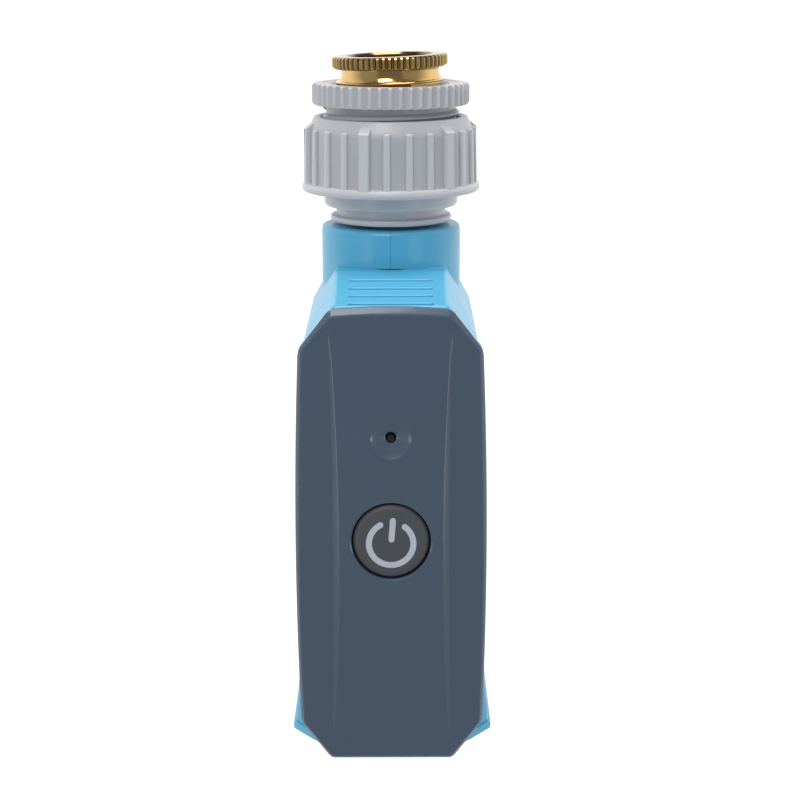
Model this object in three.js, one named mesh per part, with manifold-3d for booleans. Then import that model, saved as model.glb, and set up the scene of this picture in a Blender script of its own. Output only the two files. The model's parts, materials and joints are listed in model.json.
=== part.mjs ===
// Drip irrigation timer that hangs from a tap: a threaded inlet stack, a motor driven ball valve
// in a two part housing, and a pull-out drawer that carries the panel, button, board and cells.
// Millimetres, +Z up. Heights are taken from the lower edge of the front panel and the pipe runs
// up the Z axis; the finished group is lowered so that its origin is the centre of the inlet top.
import * as THREE from "three";
import { mergeVertices } from "three/addons/utils/BufferGeometryUtils.js";
import { ConvexGeometry } from "three/addons/geometries/ConvexGeometry.js";
import Module from "manifold-3d";

const wasm = await Module();
wasm.setup();

// ---------------------------------------------------------------- driving dimensions
const SEAM_Y = -16.7; // plane between drawer and housing
const WALL = 2.0;
const GAP = 0.3; // between pieces that would touch
const FINE = 32; // facets round a large collar
const SMALL = 16; // facets round a small shaft

const INLET = { top: 161.1, flangeR: 13.8, flangeLow: 158.1, neckR: 11.8, threadR: 13.0, low: 147.6, boreR: 10.0 };
const REDUCER = { top: 154.5, ringLow: 149.4, ringR: 18.8, threadR: 16.4, low: 139.0, boreR: 13.4, floor: 145.5 };
const NUT = { top: 146.6, low: 128.7, wallR: 19.8, footR: 21.5, boreR: 16.8, entryR: 16.5 };
const SPIGOT = { top: 136.6, collarR: 16.3, collarLow: 125.1, waistR: 13.3, flangeR: 14.7, flangeLow: 121.5,
  tubeR: 9.5, low: 94.0, boreR: 6.5 };
const NECK = { r: 16.85, low: 109, top: 120.6 };
const BODY = { half: 20, flat: 13, topFront: 108, topRear: 111.8, chamferLow: 99, front: -42.9, rear: 19 };
const FOOT = { half: 24, low: -1.8, top: 1.9, flareTop: 40 };
const PANEL = { rear: -43.2, face: -45.1, top: 108, field: -45.5, drop: 0.45 };
const VALVE = { z: 84, ballR: 8.5, portR: 5.5, bodyR: 11.5, low: 66, top: 104 };
const OUTLET = { low: -13.5, threadR: 13.1, pipeR: 8.0, boreR: 6.0, pipeTop: 71.1 };
const BUTTON = { z: 53.6, r: 8.8, face: -45.6 };
const LAMP_Z = 78;
const CELL = { r: 7.05, x: 7.7, y: -24, body: 49.2, nub: 1.3 };
const BOARD = { front: -36.5, rear: -35.0, half: 15, low: 44, top: 87.5 };

// Gear train: module 0.5, every axis parallel to Y
const MODULE = 0.5;
const OUTPUT_TEETH = 40;
const WHEEL_TEETH = 24;
const PINION_TEETH = 10;
const LAYER = [[-18.5, -16.0], [-21.1, -19.1], [-23.6, -21.6]];
const FIRST_STEP = deg(150);
const SECOND_STEP = deg(50);
const THIRD_STEP = deg(-10);
const OUTPUT_AT = new THREE.Vector2(0, VALVE.z);
const IDLER_A_AT = step(OUTPUT_AT, pitch(OUTPUT_TEETH) + pitch(PINION_TEETH), FIRST_STEP);
const IDLER_B_AT = step(IDLER_A_AT, pitch(WHEEL_TEETH) + pitch(PINION_TEETH), SECOND_STEP);
const MOTOR_AT = step(IDLER_B_AT, pitch(WHEEL_TEETH) + pitch(PINION_TEETH), THIRD_STEP);
const POSTS = [[10.6, 76.2], [-13.2, 77.0], [10.6, 101.3], [-13.6, 100.2]];
const PLATE = { rear: [-15.6, -14.1], front: [-25.4, -24.1], x: [-15.4, 12.4], z: [74.4, 103.2] };

const SCREW_ROWS = [14, 42, 67, 95]; // heights of the housing screws
const SCREW_Y = 14.8;

// ---------------------------------------------------------------- small tools
function deg(angle) {
  return (angle * Math.PI) / 180;
}

function pitch(teeth) {
  return (teeth * MODULE) / 2;
}

function step(from, distance, angle) {
  return new THREE.Vector2(from.x + distance * Math.cos(angle), from.y + distance * Math.sin(angle));
}

// A closed solid from any closed three.js geometry.
function solid(geometry) {
  const bare = geometry.clone();
  bare.deleteAttribute("normal");
  bare.deleteAttribute("uv");
  const merged = mergeVertices(bare, 1e-4);
  return new wasm.Manifold(new wasm.Mesh({
    numProp: 3,
    vertProperties: new Float32Array(merged.attributes.position.array),
    triVerts: new Uint32Array(merged.index.array),
  }));
}

// Turned shape about Z from [radius, height] pairs, anticlockwise, touching the axis or a ring.
function turned(profile, facets = FINE) {
  const points = profile.map(([r, z]) => new THREE.Vector2(r, z));
  if (profile[0][0] > 0) {
    points.push(points[0].clone());
  }
  return solid(new THREE.LatheGeometry(points, facets).rotateX(Math.PI / 2));
}

// The same, standing along Y at (x, z): heights become y.
function turnedY(profile, x, z, facets = SMALL) {
  return turned(profile, facets).rotate([-90, 0, 0]).translate([x, 0, z]);
}

function disc(r, low, high, facets = FINE) {
  return turned([[0, low], [r, low], [r, high], [0, high]], facets);
}

function discY(r, low, high, x, z, facets = SMALL) {
  return turnedY([[0, low], [r, low], [r, high], [0, high]], x, z, facets);
}

function discX(r, low, high, y, z, facets = SMALL) {
  return disc(r, low, high, facets).rotate([0, 90, 0]).translate([0, y, z]);
}

function ring(inner, outer, low, high, facets = FINE) {
  return turned([[inner, low], [outer, low], [outer, high], [inner, high]], facets);
}

function block(x0, x1, y0, y1, z0, z1) {
  const box = new THREE.BoxGeometry(x1 - x0, y1 - y0, z1 - z0);
  return solid(box.translate((x0 + x1) / 2, (y0 + y1) / 2, (z0 + z1) / 2));
}

// Shape drawn in X and Z, thickened from the rear plane towards the front plane.
function slabY(shape, front, rear, curve = 6) {
  const settings = { depth: rear - front, bevelEnabled: false, curveSegments: curve };
  return solid(new THREE.ExtrudeGeometry(shape, settings).rotateX(Math.PI / 2).translate(0, rear, 0));
}

function slabZ(shape, low, high, curve = 6) {
  const settings = { depth: high - low, bevelEnabled: false, curveSegments: curve };
  return solid(new THREE.ExtrudeGeometry(shape, settings).translate(0, 0, low));
}

function hull(points) {
  return solid(new ConvexGeometry(points.map((p) => new THREE.Vector3(...p))));
}

function polygon(pairs) {
  return new THREE.Shape(pairs.map(([x, y]) => new THREE.Vector2(x, y)));
}

function mirrored(pairs) {
  return pairs.concat(pairs.map(([x, y]) => [-x, y]).reverse());
}

function joined(list) {
  return list.reduce((whole, next) => whole.add(next));
}

function without(whole, list) {
  return list.reduce((rest, cut) => rest.subtract(cut), whole);
}

// Rounded tooth line for a knurl: equal teeth round a circle.
function knurl(rootR, tipR, teeth) {
  const points = [];
  for (let i = 0; i < teeth; i += 1) {
    for (const [share, r] of [[0, rootR], [0.5, tipR]]) {
      const angle = ((i + share) / teeth) * 2 * Math.PI;
      points.push([r * Math.cos(angle), r * Math.sin(angle)]);
    }
  }
  return polygon(points);
}

// Thread crests as rings, so the profile steps out and in once per pitch.
function crests(rootR, tipR, low, high, lead) {
  const points = [];
  for (let z = low; z + lead <= high + 1e-6; z += lead) {
    points.push([rootR, z], [tipR, z + lead * 0.5]);
  }
  points.push([rootR, high]);
  return points;
}

function toothShape(teeth, phase, boreR) {
  const radius = pitch(teeth);
  const widths = [[radius - 0.58, 0.33], [radius + 0.42, 0.13]];
  const points = [];
  for (let i = 0; i < teeth; i += 1) {
    const middle = phase + (i / teeth) * 2 * Math.PI;
    const spread = (2 * Math.PI) / teeth;
    for (const [r, share] of widths) {
      points.push([r * Math.cos(middle - share * spread), r * Math.sin(middle - share * spread)]);
    }
    for (const [r, share] of widths.slice().reverse()) {
      points.push([r * Math.cos(middle + share * spread), r * Math.sin(middle + share * spread)]);
    }
  }
  const shape = polygon(points);
  shape.holes.push(new THREE.Path().absarc(0, 0, boreR, 0, 2 * Math.PI, true));
  return shape;
}

function wheel(teeth, phase, boreR, [front, rear], at) {
  return slabY(toothShape(teeth, phase, boreR), front, rear, 6).translate([at.x, 0, at.y]);
}

class Coil extends THREE.Curve {
  constructor(lowR, highR, height, turns) {
    super();
    this.setup = { lowR, highR, height, turns };
  }

  getPoint(t, target = new THREE.Vector3()) {
    const { lowR, highR, height, turns } = this.setup;
    const r = lowR + (highR - lowR) * t;
    const angle = t * turns * 2 * Math.PI;
    return target.set(r * Math.cos(angle), r * Math.sin(angle), height * t);
  }
}

function roundSection(r, facets) {
  const points = [];
  for (let i = 0; i < facets; i += 1) {
    points.push([r * Math.cos((i / facets) * 2 * Math.PI), r * Math.sin((i / facets) * 2 * Math.PI)]);
  }
  return polygon(points);
}

function tube(curve, r, steps, facets = 6) {
  const settings = { steps, bevelEnabled: false, extrudePath: curve };
  return solid(new THREE.ExtrudeGeometry(roundSection(r, facets), settings));
}

function throughPoints(points) {
  return new THREE.CatmullRomCurve3(points.map((p) => new THREE.Vector3(...p)), false, "centripetal");
}

// ---------------------------------------------------------------- pieces and materials
const FINISH = {
  blue: [0x5ab4dc, 0.45, 0],
  slate: [0x46556a, 0.5, 0],
  grey: [0xafb2be, 0.5, 0],
  darkGrey: [0x45484d, 0.6, 0],
  paleMark: [0xc3c8d7, 0.5, 0],
  brass: [0xd9b35a, 0.22, 1],
  steel: [0xb9bcc0, 0.3, 1],
  copper: [0xc98a55, 0.3, 1],
  rubber: [0x1f2022, 0.85, 0],
  white: [0xe8e8e4, 0.5, 0],
  chrome: [0xd8dade, 0.1, 1],
  board: [0x1e6b3a, 0.55, 0],
  clear: [0xeef2f4, 0.15, 0],
  red: [0xb32222, 0.6, 0],
  cell: [0x2c4a7c, 0.35, 0.2],
};

function piece(name, body, finish) {
  const [color, roughness, metalness] = FINISH[finish];
  const { vertProperties, triVerts } = body.getMesh();
  const geometry = new THREE.BufferGeometry();
  geometry.setAttribute("position", new THREE.BufferAttribute(new Float32Array(vertProperties), 3));
  geometry.setIndex(new THREE.BufferAttribute(new Uint32Array(triVerts), 1));
  geometry.computeVertexNormals();
  const mesh = new THREE.Mesh(geometry, new THREE.MeshStandardMaterial({ color, roughness, metalness }));
  mesh.name = name;
  return mesh;
}

// ---------------------------------------------------------------- inlet stack
function brassAdapter() {
  const { top, flangeR, flangeLow, neckR, threadR, low, boreR } = INLET;
  const thread = crests(threadR - 0.7, threadR, low + 0.6, low + 0.6 + 3 * 1.814, 1.814);
  const shank = turned([[7.2, low], [threadR - 0.8, low], ...thread, [neckR, 154.4], [neckR, flangeLow + 0.4],
    [boreR, flangeLow + 0.4], [boreR, 149.2], [7.2, 149.2]]);
  const flange = slabZ(knurl(flangeR - 0.35, flangeR, 52), flangeLow + 0.3, top - 0.3);
  const faces = ring(boreR, flangeR - 0.5, flangeLow, top);
  return joined([shank, flange.subtract(disc(boreR, flangeLow, top)), faces]);
}

function reducerAdapter() {
  const { top, ringLow, ringR, threadR, low, boreR, floor } = REDUCER;
  const thread = crests(threadR - 0.9, threadR, low + 0.8, low + 0.8 + 4 * 2.309, 2.309);
  const shank = turned([[9.5, low], [threadR - 1.0, low], ...thread, [threadR - 0.9, ringLow + 0.2],
    [boreR, ringLow + 0.2], [boreR, floor], [9.5, floor]]);
  const grip = slabZ(knurl(ringR - 0.45, ringR, 48), ringLow + 0.3, top - 0.5);
  const faces = turned([[boreR, ringLow], [ringR - 0.6, ringLow], [ringR - 0.6, top - 0.2],
    [ringR - 1.1, top], [boreR + 0.8, top], [boreR, top - 0.8]]);
  return joined([shank, grip.subtract(disc(boreR, ringLow, top)), faces]);
}

function swivelNut() {
  const { top, low, wallR, footR, boreR, entryR } = NUT;
  const shell = turned([[entryR, low + 0.5], [entryR + 0.5, low], [footR - 0.5, low], [footR, low + 0.5],
    [footR, low + 1.2], [footR - 0.5, low + 1.7], [wallR + 0.2, low + 2.2], [wallR - 0.2, 144.2],
    [wallR - 0.7, 145.4], [18.6, 146.0], [18.4, top], [boreR + 0.5, top], [boreR, top - 0.5],
    [boreR, 132.7], [17.7, 132.7], [17.7, 130.8], [entryR, 130.8]]);
  const ribs = [];
  for (let i = 0; i < 24; i += 1) {
    const thick = i % 4 === 0;
    const half = thick ? 1.45 : 0.8;
    const high = thick ? 145.2 : 144.0;
    const outer = thick ? 21.2 : 20.7;
    const sides = [[19.0, -half], [outer, -half * 0.7], [outer, half * 0.7], [19.0, half]];
    const rib = slabZ(polygon(sides), low + 1.4, high);
    ribs.push(rib.rotate([0, 0, -107.5 + 15 * i]));
  }
  return joined([shell, ...ribs]);
}

function inletSpigot() {
  const { top, collarR, collarLow, waistR, flangeR, flangeLow, tubeR, low, boreR } = SPIGOT;
  return turned([[boreR, low], [tubeR, low], [tubeR, 96.6], [tubeR - 1.5, 96.6],
    [tubeR - 1.5, 99.0], [tubeR, 99.0], [tubeR, 111.3], [13.2, 111.3], [13.2, 115.0], [tubeR, 115.0],
    [tubeR, flangeLow], [flangeR - 0.4, flangeLow], [flangeR, flangeLow + 0.4], [flangeR, 122.7],
    [flangeR - 0.3, 123.0], [waistR, 123.0], [waistR, collarLow], [collarR - 0.8, collarLow],
    [collarR, collarLow + 0.8], [collarR, 130.9], [15.0, 130.9], [15.0, 132.5], [collarR, 132.5],
    [collarR, top], [boreR + 1.5, top], [boreR, top - 1.5]]);
}

function snapRing() {
  const whole = ring(15.3, 17.4, 131.2, 132.2, FINE);
  return whole.subtract(block(13, 19, -2.2, 2.2, 130, 134));
}

function filterWasher() {
  const rim = ring(11.0, 15.9, 136.9, 138.7);
  const mesh = disc(11.4, 137.5, 138.1);
  const holes = [];
  for (let i = 0; i < 4; i += 1) {
    for (let j = 0; j < 4; j += 1) {
      const x = (i - 1.5) * 4.2;
      const y = (j - 1.5) * 4.2;
      if (Math.hypot(x, y) < 8) {
        holes.push(block(x - 1.6, x + 1.6, y - 1.6, y + 1.6, 137, 139));
      }
    }
  }
  return rim.add(without(mesh, holes));
}

function inletStack() {
  const stack = new THREE.Group();
  stack.name = "inlet_stack";
  stack.add(
    piece("brass_adapter", brassAdapter(), "brass"),
    piece("brass_washer", ring(7.4, 9.7, 149.5, 151.1, 24), "rubber"),
    piece("reducer_adapter", reducerAdapter(), "grey"),
    piece("reducer_washer", ring(9.8, 13.1, 145.8, 147.3), "rubber"),
    piece("swivel_nut", swivelNut(), "grey"),
    piece("filter_washer", filterWasher(), "white"),
    piece("nut_snap_ring", snapRing(), "steel"),
    piece("inlet_spigot", inletSpigot(), "grey"),
    piece("spigot_o_ring", oRing(8.85, 0.72, 20, 5).translate([0, 0, 97.8]), "rubber"),
  );
  return stack;
}

function oRing(radius, thickness, facets, sides) {
  return solid(new THREE.TorusGeometry(radius, thickness, sides, facets));
}

// ---------------------------------------------------------------- outer body
// Eight points of the body section at one depth, seen from the front.
function section(y, inset, top, half = BODY.half) {
  const side = half - inset;
  const flat = BODY.flat - 0.6 * inset;
  const corners = mirrored([[flat, top - inset], [side, BODY.chamferLow - 0.26 * inset],
    [side, 9 + 0.3 * inset], [flat + 1 - 0.2 * inset, -0.5 + inset]]);
  return corners.map(([x, z]) => [x, y, z]);
}

// Plan of the flared foot at one height.
function footPlan(z, grow, inset) {
  const g = grow - inset;
  const plan = mirrored([[12.4 + 0.4 * g, -34.6 - 0.8 * g], [17.2 + 0.5 * g, -29.0 - 0.6 * g],
    [BODY.half + g, -23.4 - 0.2 * g], [BODY.half + g, 13 + 0.3 * g], [14 + 0.8 * g, 18.4 + 0.7 * g]]);
  return plan.map(([x, y]) => [x, y, z]);
}

function bodyForm(inset) {
  const front = inset > 0 ? BODY.front + 1.5 : BODY.front;
  const slope = hull([...section(front, inset, BODY.topFront), ...section(-16, inset, BODY.topRear)]);
  const box = hull([...section(-16, inset, BODY.topRear), ...section(BODY.rear - 3, inset, BODY.topRear),
    ...section(BODY.rear - inset * 0.9, inset + 2, BODY.topRear)]);
  const low = inset > 0 ? 2.5 : 1.6;
  const flare = hull([...footPlan(FOOT.flareTop, 0, inset), ...footPlan(low, 3.0, inset)]);
  return joined([slope, box, flare]);
}

function outerForm() {
  const lip = hull([...footPlan(FOOT.top, 3.5, 0), ...footPlan(FOOT.top - 0.5, 4, 0),
    ...footPlan(FOOT.low + 0.9, 4, 0), ...footPlan(FOOT.low, 3.1, 0)]);
  return bodyForm(0).add(lip);
}

// Panel outline: bowed sides, cut corners, a slightly arched top.
function panelOutline(grow) {
  const right = [[13.6 + 0.6 * grow, -grow], [14.9 + 0.8 * grow, 0.7 - 0.6 * grow],
    [20.6 + 0.8 * grow, 8.4 - 0.5 * grow], [21.25 + grow, 10.2]];
  const side = new THREE.QuadraticBezierCurve(new THREE.Vector2(21.25 + grow, 10.2),
    new THREE.Vector2(22.9 + grow, 54), new THREE.Vector2(20.95 + grow, 97.6));
  side.getPoints(8).slice(1).forEach((p) => right.push([p.x, p.y]));
  right.push([20.4 + 0.8 * grow, 99.4 + 0.5 * grow], [14.4 + 0.6 * grow, 107.2 + 0.6 * grow],
    [13.2 + 0.5 * grow, PANEL.top + grow], [6.6, PANEL.top + 0.45 + grow]);
  return mirrored(right).map(([x, z]) => [x, z - PANEL.drop]);
}

function outlineAt(y, grow) {
  return panelOutline(grow).map(([x, z]) => [x, y, z]);
}

// Front edge of the panel, cut back further along its top so that a sloping brow is left there.
function browAt(y, grow, brow) {
  return panelOutline(grow).map(([x, z]) => [x, y, z > 97 ? z - brow * (z - 97) / 11 : z]);
}

// ---------------------------------------------------------------- housing halves
function guideRibs() {
  const ribs = [];
  for (const side of [-1, 1]) {
    for (const z of [43.1, 48.9, 79.1, 84.9]) {
      const [x0, x1] = side > 0 ? [16.4, 19] : [-19, -16.4];
      ribs.push(block(x0, x1, -15.4, -9, z - 0.6, z + 0.6));
    }
  }
  return ribs;
}

function housingShell() {
  const space = block(-40, 40, SEAM_Y + 0.5, 40, -10, 140);
  const rounded = turned([[0, NECK.low], [NECK.r, NECK.low], [NECK.r, NECK.top - 0.9],
    [NECK.r - 0.3, NECK.top - 0.25], [NECK.r - 0.9, NECK.top], [0, NECK.top]]);
  const outer = outerForm().intersect(space)
    .add(rounded.subtract(block(-20, 20, -20, SEAM_Y + 0.5, 100, 112)));
  const hollow = [bodyForm(WALL), disc(NECK.r - WALL, 104, NECK.top - WALL)];
  const shelves = joined([
    block(-19, 19, -8, 18, 88, 90), block(-19, 19, -8, 18, 73, 75), disc(NECK.r - 0.5, 109.0, 111.0),
    disc(NECK.r - 0.5, 115.3, 117.0),
  ]).intersect(outer);
  const bosses = SCREW_ROWS.map((z) => discX(2.4, -18.5, 18.5, SCREW_Y, z, 16));
  const inside = joined([shelves, ...bosses, ...guideRibs()]);
  const cuts = [disc(VALVE.bodyR + GAP, 60, 104.5), disc(SPIGOT.tubeR + 0.4, 100, 122),
    disc(9.3, -5, 5, FINE)];
  return without(without(outer, hollow).add(inside), cuts);
}



function housingHalves() {
  const shell = housingShell();
  const holes = SCREW_ROWS.map((z) => discX(1.35, -12, 30, SCREW_Y, z, 12));
  const recesses = SCREW_ROWS.map((z) => discX(2.6, 17.4, 30, SCREW_Y, z, 16));
  const drilled = without(shell, [...holes, ...recesses]);
  return {
    left: drilled.intersect(block(-40, -0.12, -40, 40, -20, 140)),
    right: drilled.intersect(block(0.12, 40, -40, 40, -20, 140)),
  };
}

function panScrew(headR, headHeight, shankR, length) {
  const shaft = turned([[0, -length], [shankR, -length + 1], [shankR, 0], [headR, 0],
    [headR * 0.85, headHeight], [0, headHeight]], 8);
  return shaft.subtract(block(-headR * 2, headR * 2, -0.25, 0.25, headHeight - 0.45, headHeight + 1));
}

function housing() {
  const group = new THREE.Group();
  group.name = "housing";
  const halves = housingHalves();
  group.add(piece("housing_left", halves.left, "blue"), piece("housing_right", halves.right, "blue"));
  SCREW_ROWS.forEach((z, i) => {
    const screw = panScrew(2.2, 1.6, 1.1, 27.5).rotate([0, 90, 0]).translate([17.7, SCREW_Y, z]);
    group.add(piece(`housing_screw_${i + 1}`, screw, "steel"));
  });
  return group;
}

// ---------------------------------------------------------------- valve and gearbox
function plateShape() {
  const [x0, x1] = PLATE.x;
  const [z0, z1] = PLATE.z;
  return polygon([[x0 + 1.5, z0], [x1 - 1.5, z0], [x1, z0 + 1.5], [x1, z1 - 2.4], [x1 - 2.4, z1],
    [x0 + 2.8, z1], [x0, z1 - 3.6], [x0, z0 + 1.5]]);
}

function valveBody() {
  const { z, bodyR, low, top } = VALVE;
  const outer = disc(bodyR, low, top, 32);
  const boss = discY(5.5, -13.8, -6, 0, z);
  const plate = slabY(plateShape(), ...PLATE.rear);
  const neck = block(-5, 5, -14.3, -8, z - 6, z + 6);
  const posts = POSTS.map(([x, y]) => discY(1.5, PLATE.front[1] + 0.1, PLATE.rear[1], x, y, 8));
  const bore = turned([[0, low - 1], [OUTLET.pipeR + GAP, low - 1], [OUTLET.pipeR + GAP, 71.4], [6.2, 71.4],
    [6.2, 74.0], [9.0, 74.0], [9.0, 93.6], [SPIGOT.tubeR + GAP, 93.6], [SPIGOT.tubeR + GAP, top + 1],
    [0, top + 1]], 32);
  const stemHole = discY(3.2, -20, -5, 0, z);
  const pinHoles = [IDLER_A_AT, IDLER_B_AT].map((at) => discY(0.95, -16.5, -13, at.x, at.y, 8));
  const pilots = POSTS.map(([x, y]) => discY(0.75, -25, -17.5, x, y, 6));
  return without(joined([outer, boss, plate, neck, ...posts]), [bore, stemHole, ...pinHoles, ...pilots]);
}

function ballSeat(up) {
  const seat = turned([[6.0, 74.3], [8.6, 74.3], [8.6, 80.0], [6.0, 77.6]], 28);
  return up ? seat.mirror([0, 0, 1]).translate([0, 0, 2 * VALVE.z - 0.2]) : seat;
}

function valveBall() {
  const { z, ballR, portR } = VALVE;
  const ball = solid(new THREE.SphereGeometry(ballR, 24, 14));
  const port = discX(portR, -10, 10, 0, 0, 24);
  const slot = block(-3.4, 3.4, -10, -6.4, -1.25, 1.25);
  return without(ball, [port, slot]).translate([0, 0, z]);
}

function valveStem() {
  const shaft = turnedY([[0, -18.7], [2.0, -18.7], [2.0, -15.8], [2.9, -15.8], [2.9, -12.7], [2.1, -12.7],
    [2.1, -11.3], [2.9, -11.3], [2.9, -8.9], [0, -8.9]], 0, VALVE.z);
  const tang = block(-3.0, 3.0, -9.0, -6.7, VALVE.z - 1.0, VALVE.z + 1.0).intersect(
    discY(3.05, -9.2, -6.5, 0, VALVE.z));
  return shaft.add(tang).subtract(block(-3, 3, -19, -15.9, VALVE.z + 1.5, VALVE.z + 3));
}

function outputGear() {
  const phase = FIRST_STEP;
  return wheel(OUTPUT_TEETH, phase, 2.15, LAYER[0], OUTPUT_AT);
}

function compoundGear(at, back, ahead, layer) {
  const small = wheel(PINION_TEETH, back + Math.PI + Math.PI / PINION_TEETH, 1.1, LAYER[layer], at);
  const large = wheel(WHEEL_TEETH, ahead, 1.1, LAYER[layer + 1], at);
  const hub = turnedY([[1.1, LAYER[layer + 1][1] - 0.1], [1.8, LAYER[layer + 1][1] - 0.1],
    [1.8, LAYER[layer][0] + 0.1], [1.1, LAYER[layer][0] + 0.1]], at.x, at.y, 12);
  return joined([small, large, hub]);
}

function motorPinion() {
  const phase = THIRD_STEP + Math.PI + Math.PI / PINION_TEETH;
  return wheel(PINION_TEETH, phase, 0.95, LAYER[2], MOTOR_AT);
}

function motorCan() {
  const can = discY(6, -39.0, -25.8, 0, 0, 24).intersect(block(-7, 7, -50, -20, -5, 5));
  const nose = discY(2.0, -25.9, -24.6, 0, 0, 12);
  const tail = discY(2.6, -39.7, -38.9, 0, 0, 12);
  const tabs = [-4.2, 4.2].map((x) => block(x - 0.8, x + 0.8, -40.0, -38.9, -0.25, 0.25));
  const bore = discY(1.0, -28.4, -24, 0, 0, 8);
  return joined([can, nose, tail, ...tabs]).subtract(bore).translate([MOTOR_AT.x, 0, MOTOR_AT.y]);
}

function gearboxCover() {
  const holes = POSTS.map(([x, z]) => discY(0.95, -27, -23, x, z, 8));
  const pins = [IDLER_A_AT, IDLER_B_AT].map((at) => discY(0.95, -27, -23, at.x, at.y, 10));
  const nose = discY(2.3, -27, -23, MOTOR_AT.x, MOTOR_AT.y, 12);
  return without(slabY(plateShape(), ...PLATE.front), [...holes, ...pins, nose]);
}

function contactPads() {
  const base = block(6.8, 15.6, -26.9, -25.7, 66.5, 80.5);
  return base.subtract(discY(0.9, -28, -25, POSTS[0][0], POSTS[0][1], 12));
}

function motorLead(points) {
  return tube(throughPoints(points), 0.45, 16, 5);
}

function gearbox() {
  const group = new THREE.Group();
  group.name = "valve_and_drive";
  group.add(
    piece("valve_body", valveBody(), "white"),
    piece("ball_seat_lower", ballSeat(false), "white"),
    piece("ball_seat_upper", ballSeat(true), "white"),
    piece("valve_ball", valveBall(), "chrome"),
    piece("valve_stem", valveStem(), "brass"),
    piece("stem_o_ring", oRing(2.65, 0.42, 14, 4).rotate([90, 0, 0]).translate([0, -12.0, VALVE.z]), "rubber"),
    piece("output_gear", outputGear(), "white"),
    piece("idler_gear_a", compoundGear(IDLER_A_AT, FIRST_STEP, SECOND_STEP, 0), "white"),
    piece("idler_gear_b", compoundGear(IDLER_B_AT, SECOND_STEP, THIRD_STEP, 1), "white"),
    piece("motor_pinion", motorPinion(), "brass"),
    piece("motor_shaft", discY(0.75, -28.0, -21.3, MOTOR_AT.x, MOTOR_AT.y, 12), "steel"),
    piece("motor", motorCan(), "steel"),
    piece("gearbox_cover", gearboxCover(), "white"),
    piece("contact_board", contactPads(), "board"),
  );
  [IDLER_A_AT, IDLER_B_AT].forEach((at, i) => {
    group.add(piece(`idler_pin_${"ab"[i]}`, discY(0.8, -25.3, -14.3, at.x, at.y, 10), "steel"));
  });
  [POSTS[1], POSTS[2]].forEach(([x, z], i) => {
    const screw = panScrew(1.5, 0.9, 0.65, 5.5).rotate([90, 0, 0]).translate([x, -25.7, z]);
    group.add(piece(`gearbox_screw_${i + 1}`, screw, "steel"));
  });
  const { x, y: z } = MOTOR_AT;
  const red = [[9.0, -27.6, 78.5], [10.4, -28.4, 84], [11.4, -31, 89.8], [11.0, -36, 92.0],
    [9.4, -40.2, z - 1.6], [x + 4.3, -40.6, z - 0.2]];
  const black = [[13.2, -27.6, 78.5], [13.6, -28.6, 85], [13.2, -32, 91.5], [12.2, -37.4, 95.6],
    [8.4, -40.4, z + 3.4], [x - 0.4, -40.6, z + 3.6], [x - 4.2, -40.6, z + 0.4]];
  group.add(piece("motor_lead_red", motorLead(red), "red"), piece("motor_lead_black", motorLead(black), "rubber"));
  return group;
}

// ---------------------------------------------------------------- outlet
function outletStub() {
  const { low, threadR, pipeR, boreR, pipeTop } = OUTLET;
  const thread = crests(threadR - 0.8, threadR, low + 0.9, low + 0.9 + 5 * 1.814, 1.814);
  return turned([[boreR, low], [threadR - 1.2, low], ...thread, [threadR - 0.8, FOOT.low - 0.9],
    [threadR + 0.6, FOOT.low - 0.9], [threadR + 0.6, FOOT.low - 0.3], [9.0, FOOT.low - 0.3], [9.0, 2.2],
    [12.2, 2.2], [12.2, 4.4], [pipeR, 5.4], [pipeR, pipeTop], [boreR, pipeTop]], 28);
}

// ---------------------------------------------------------------- drawer
function frontCase() {
  const space = block(-40, 40, -60, SEAM_Y - 0.5, -10, 140);
  const rim = hull([...outlineAt(BODY.front, 0.25), ...outlineAt(-40.6, 0.25), ...outlineAt(-39.6, -0.7)]);
  const slopeRise = (BODY.topRear - BODY.topFront) / (-16 - BODY.front);
  const ribs = [-24.8, -30.8, -36.2, -41.9].map((y) => {
    const z = BODY.topFront + slopeRise * (y - BODY.front) + 0.08;
    return discX(0.5, -9.6, 9.6, y, z, 10);
  });
  const tongues = [-1, 1].flatMap((side) => [46, 82].map((z) => {
    const [x0, x1] = side > 0 ? [16.5, 17.6] : [-17.6, -16.5];
    const root = side > 0 ? [17.0, 18.5] : [-18.5, -17.0];
    return block(x0, x1, -24, -8.6, z - 1.6, z + 1.6).add(block(...root, -24, -18.5, z - 1.6, z + 1.6));
  }));
  const posts = [[12.5, 84.2], [-12.5, 47.4]].map(([x, z]) => discY(2.1, -42, -36.8, x, z, 16));
  const outer = joined([outerForm().intersect(space), rim.subtract(block(-30, 30, -39.5, 0, 0, 120))]);
  const cuts = [discY(10.3, -50, -40, 0, BUTTON.z, 32), discY(1.4, -50, -40, 0, LAMP_Z, 16)];
  const pilots = [[12.5, 84.2], [-12.5, 47.4]].map(([x, z]) => discY(0.6, -41, -36, x, z, 8));
  const shell = without(outer, [bodyForm(WALL), ...cuts]).add(joined([...ribs, ...tongues, ...posts]));
  return without(shell, pilots);
}

function fieldShape() {
  const shape = new THREE.Shape();
  shape.moveTo(-13.9, 4);
  shape.lineTo(13.9, 4);
  shape.quadraticCurveTo(9.7, 54, 13.5, 104);
  shape.lineTo(-13.5, 104);
  shape.quadraticCurveTo(-9.7, 54, -13.9, 4);
  return shape;
}

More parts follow.
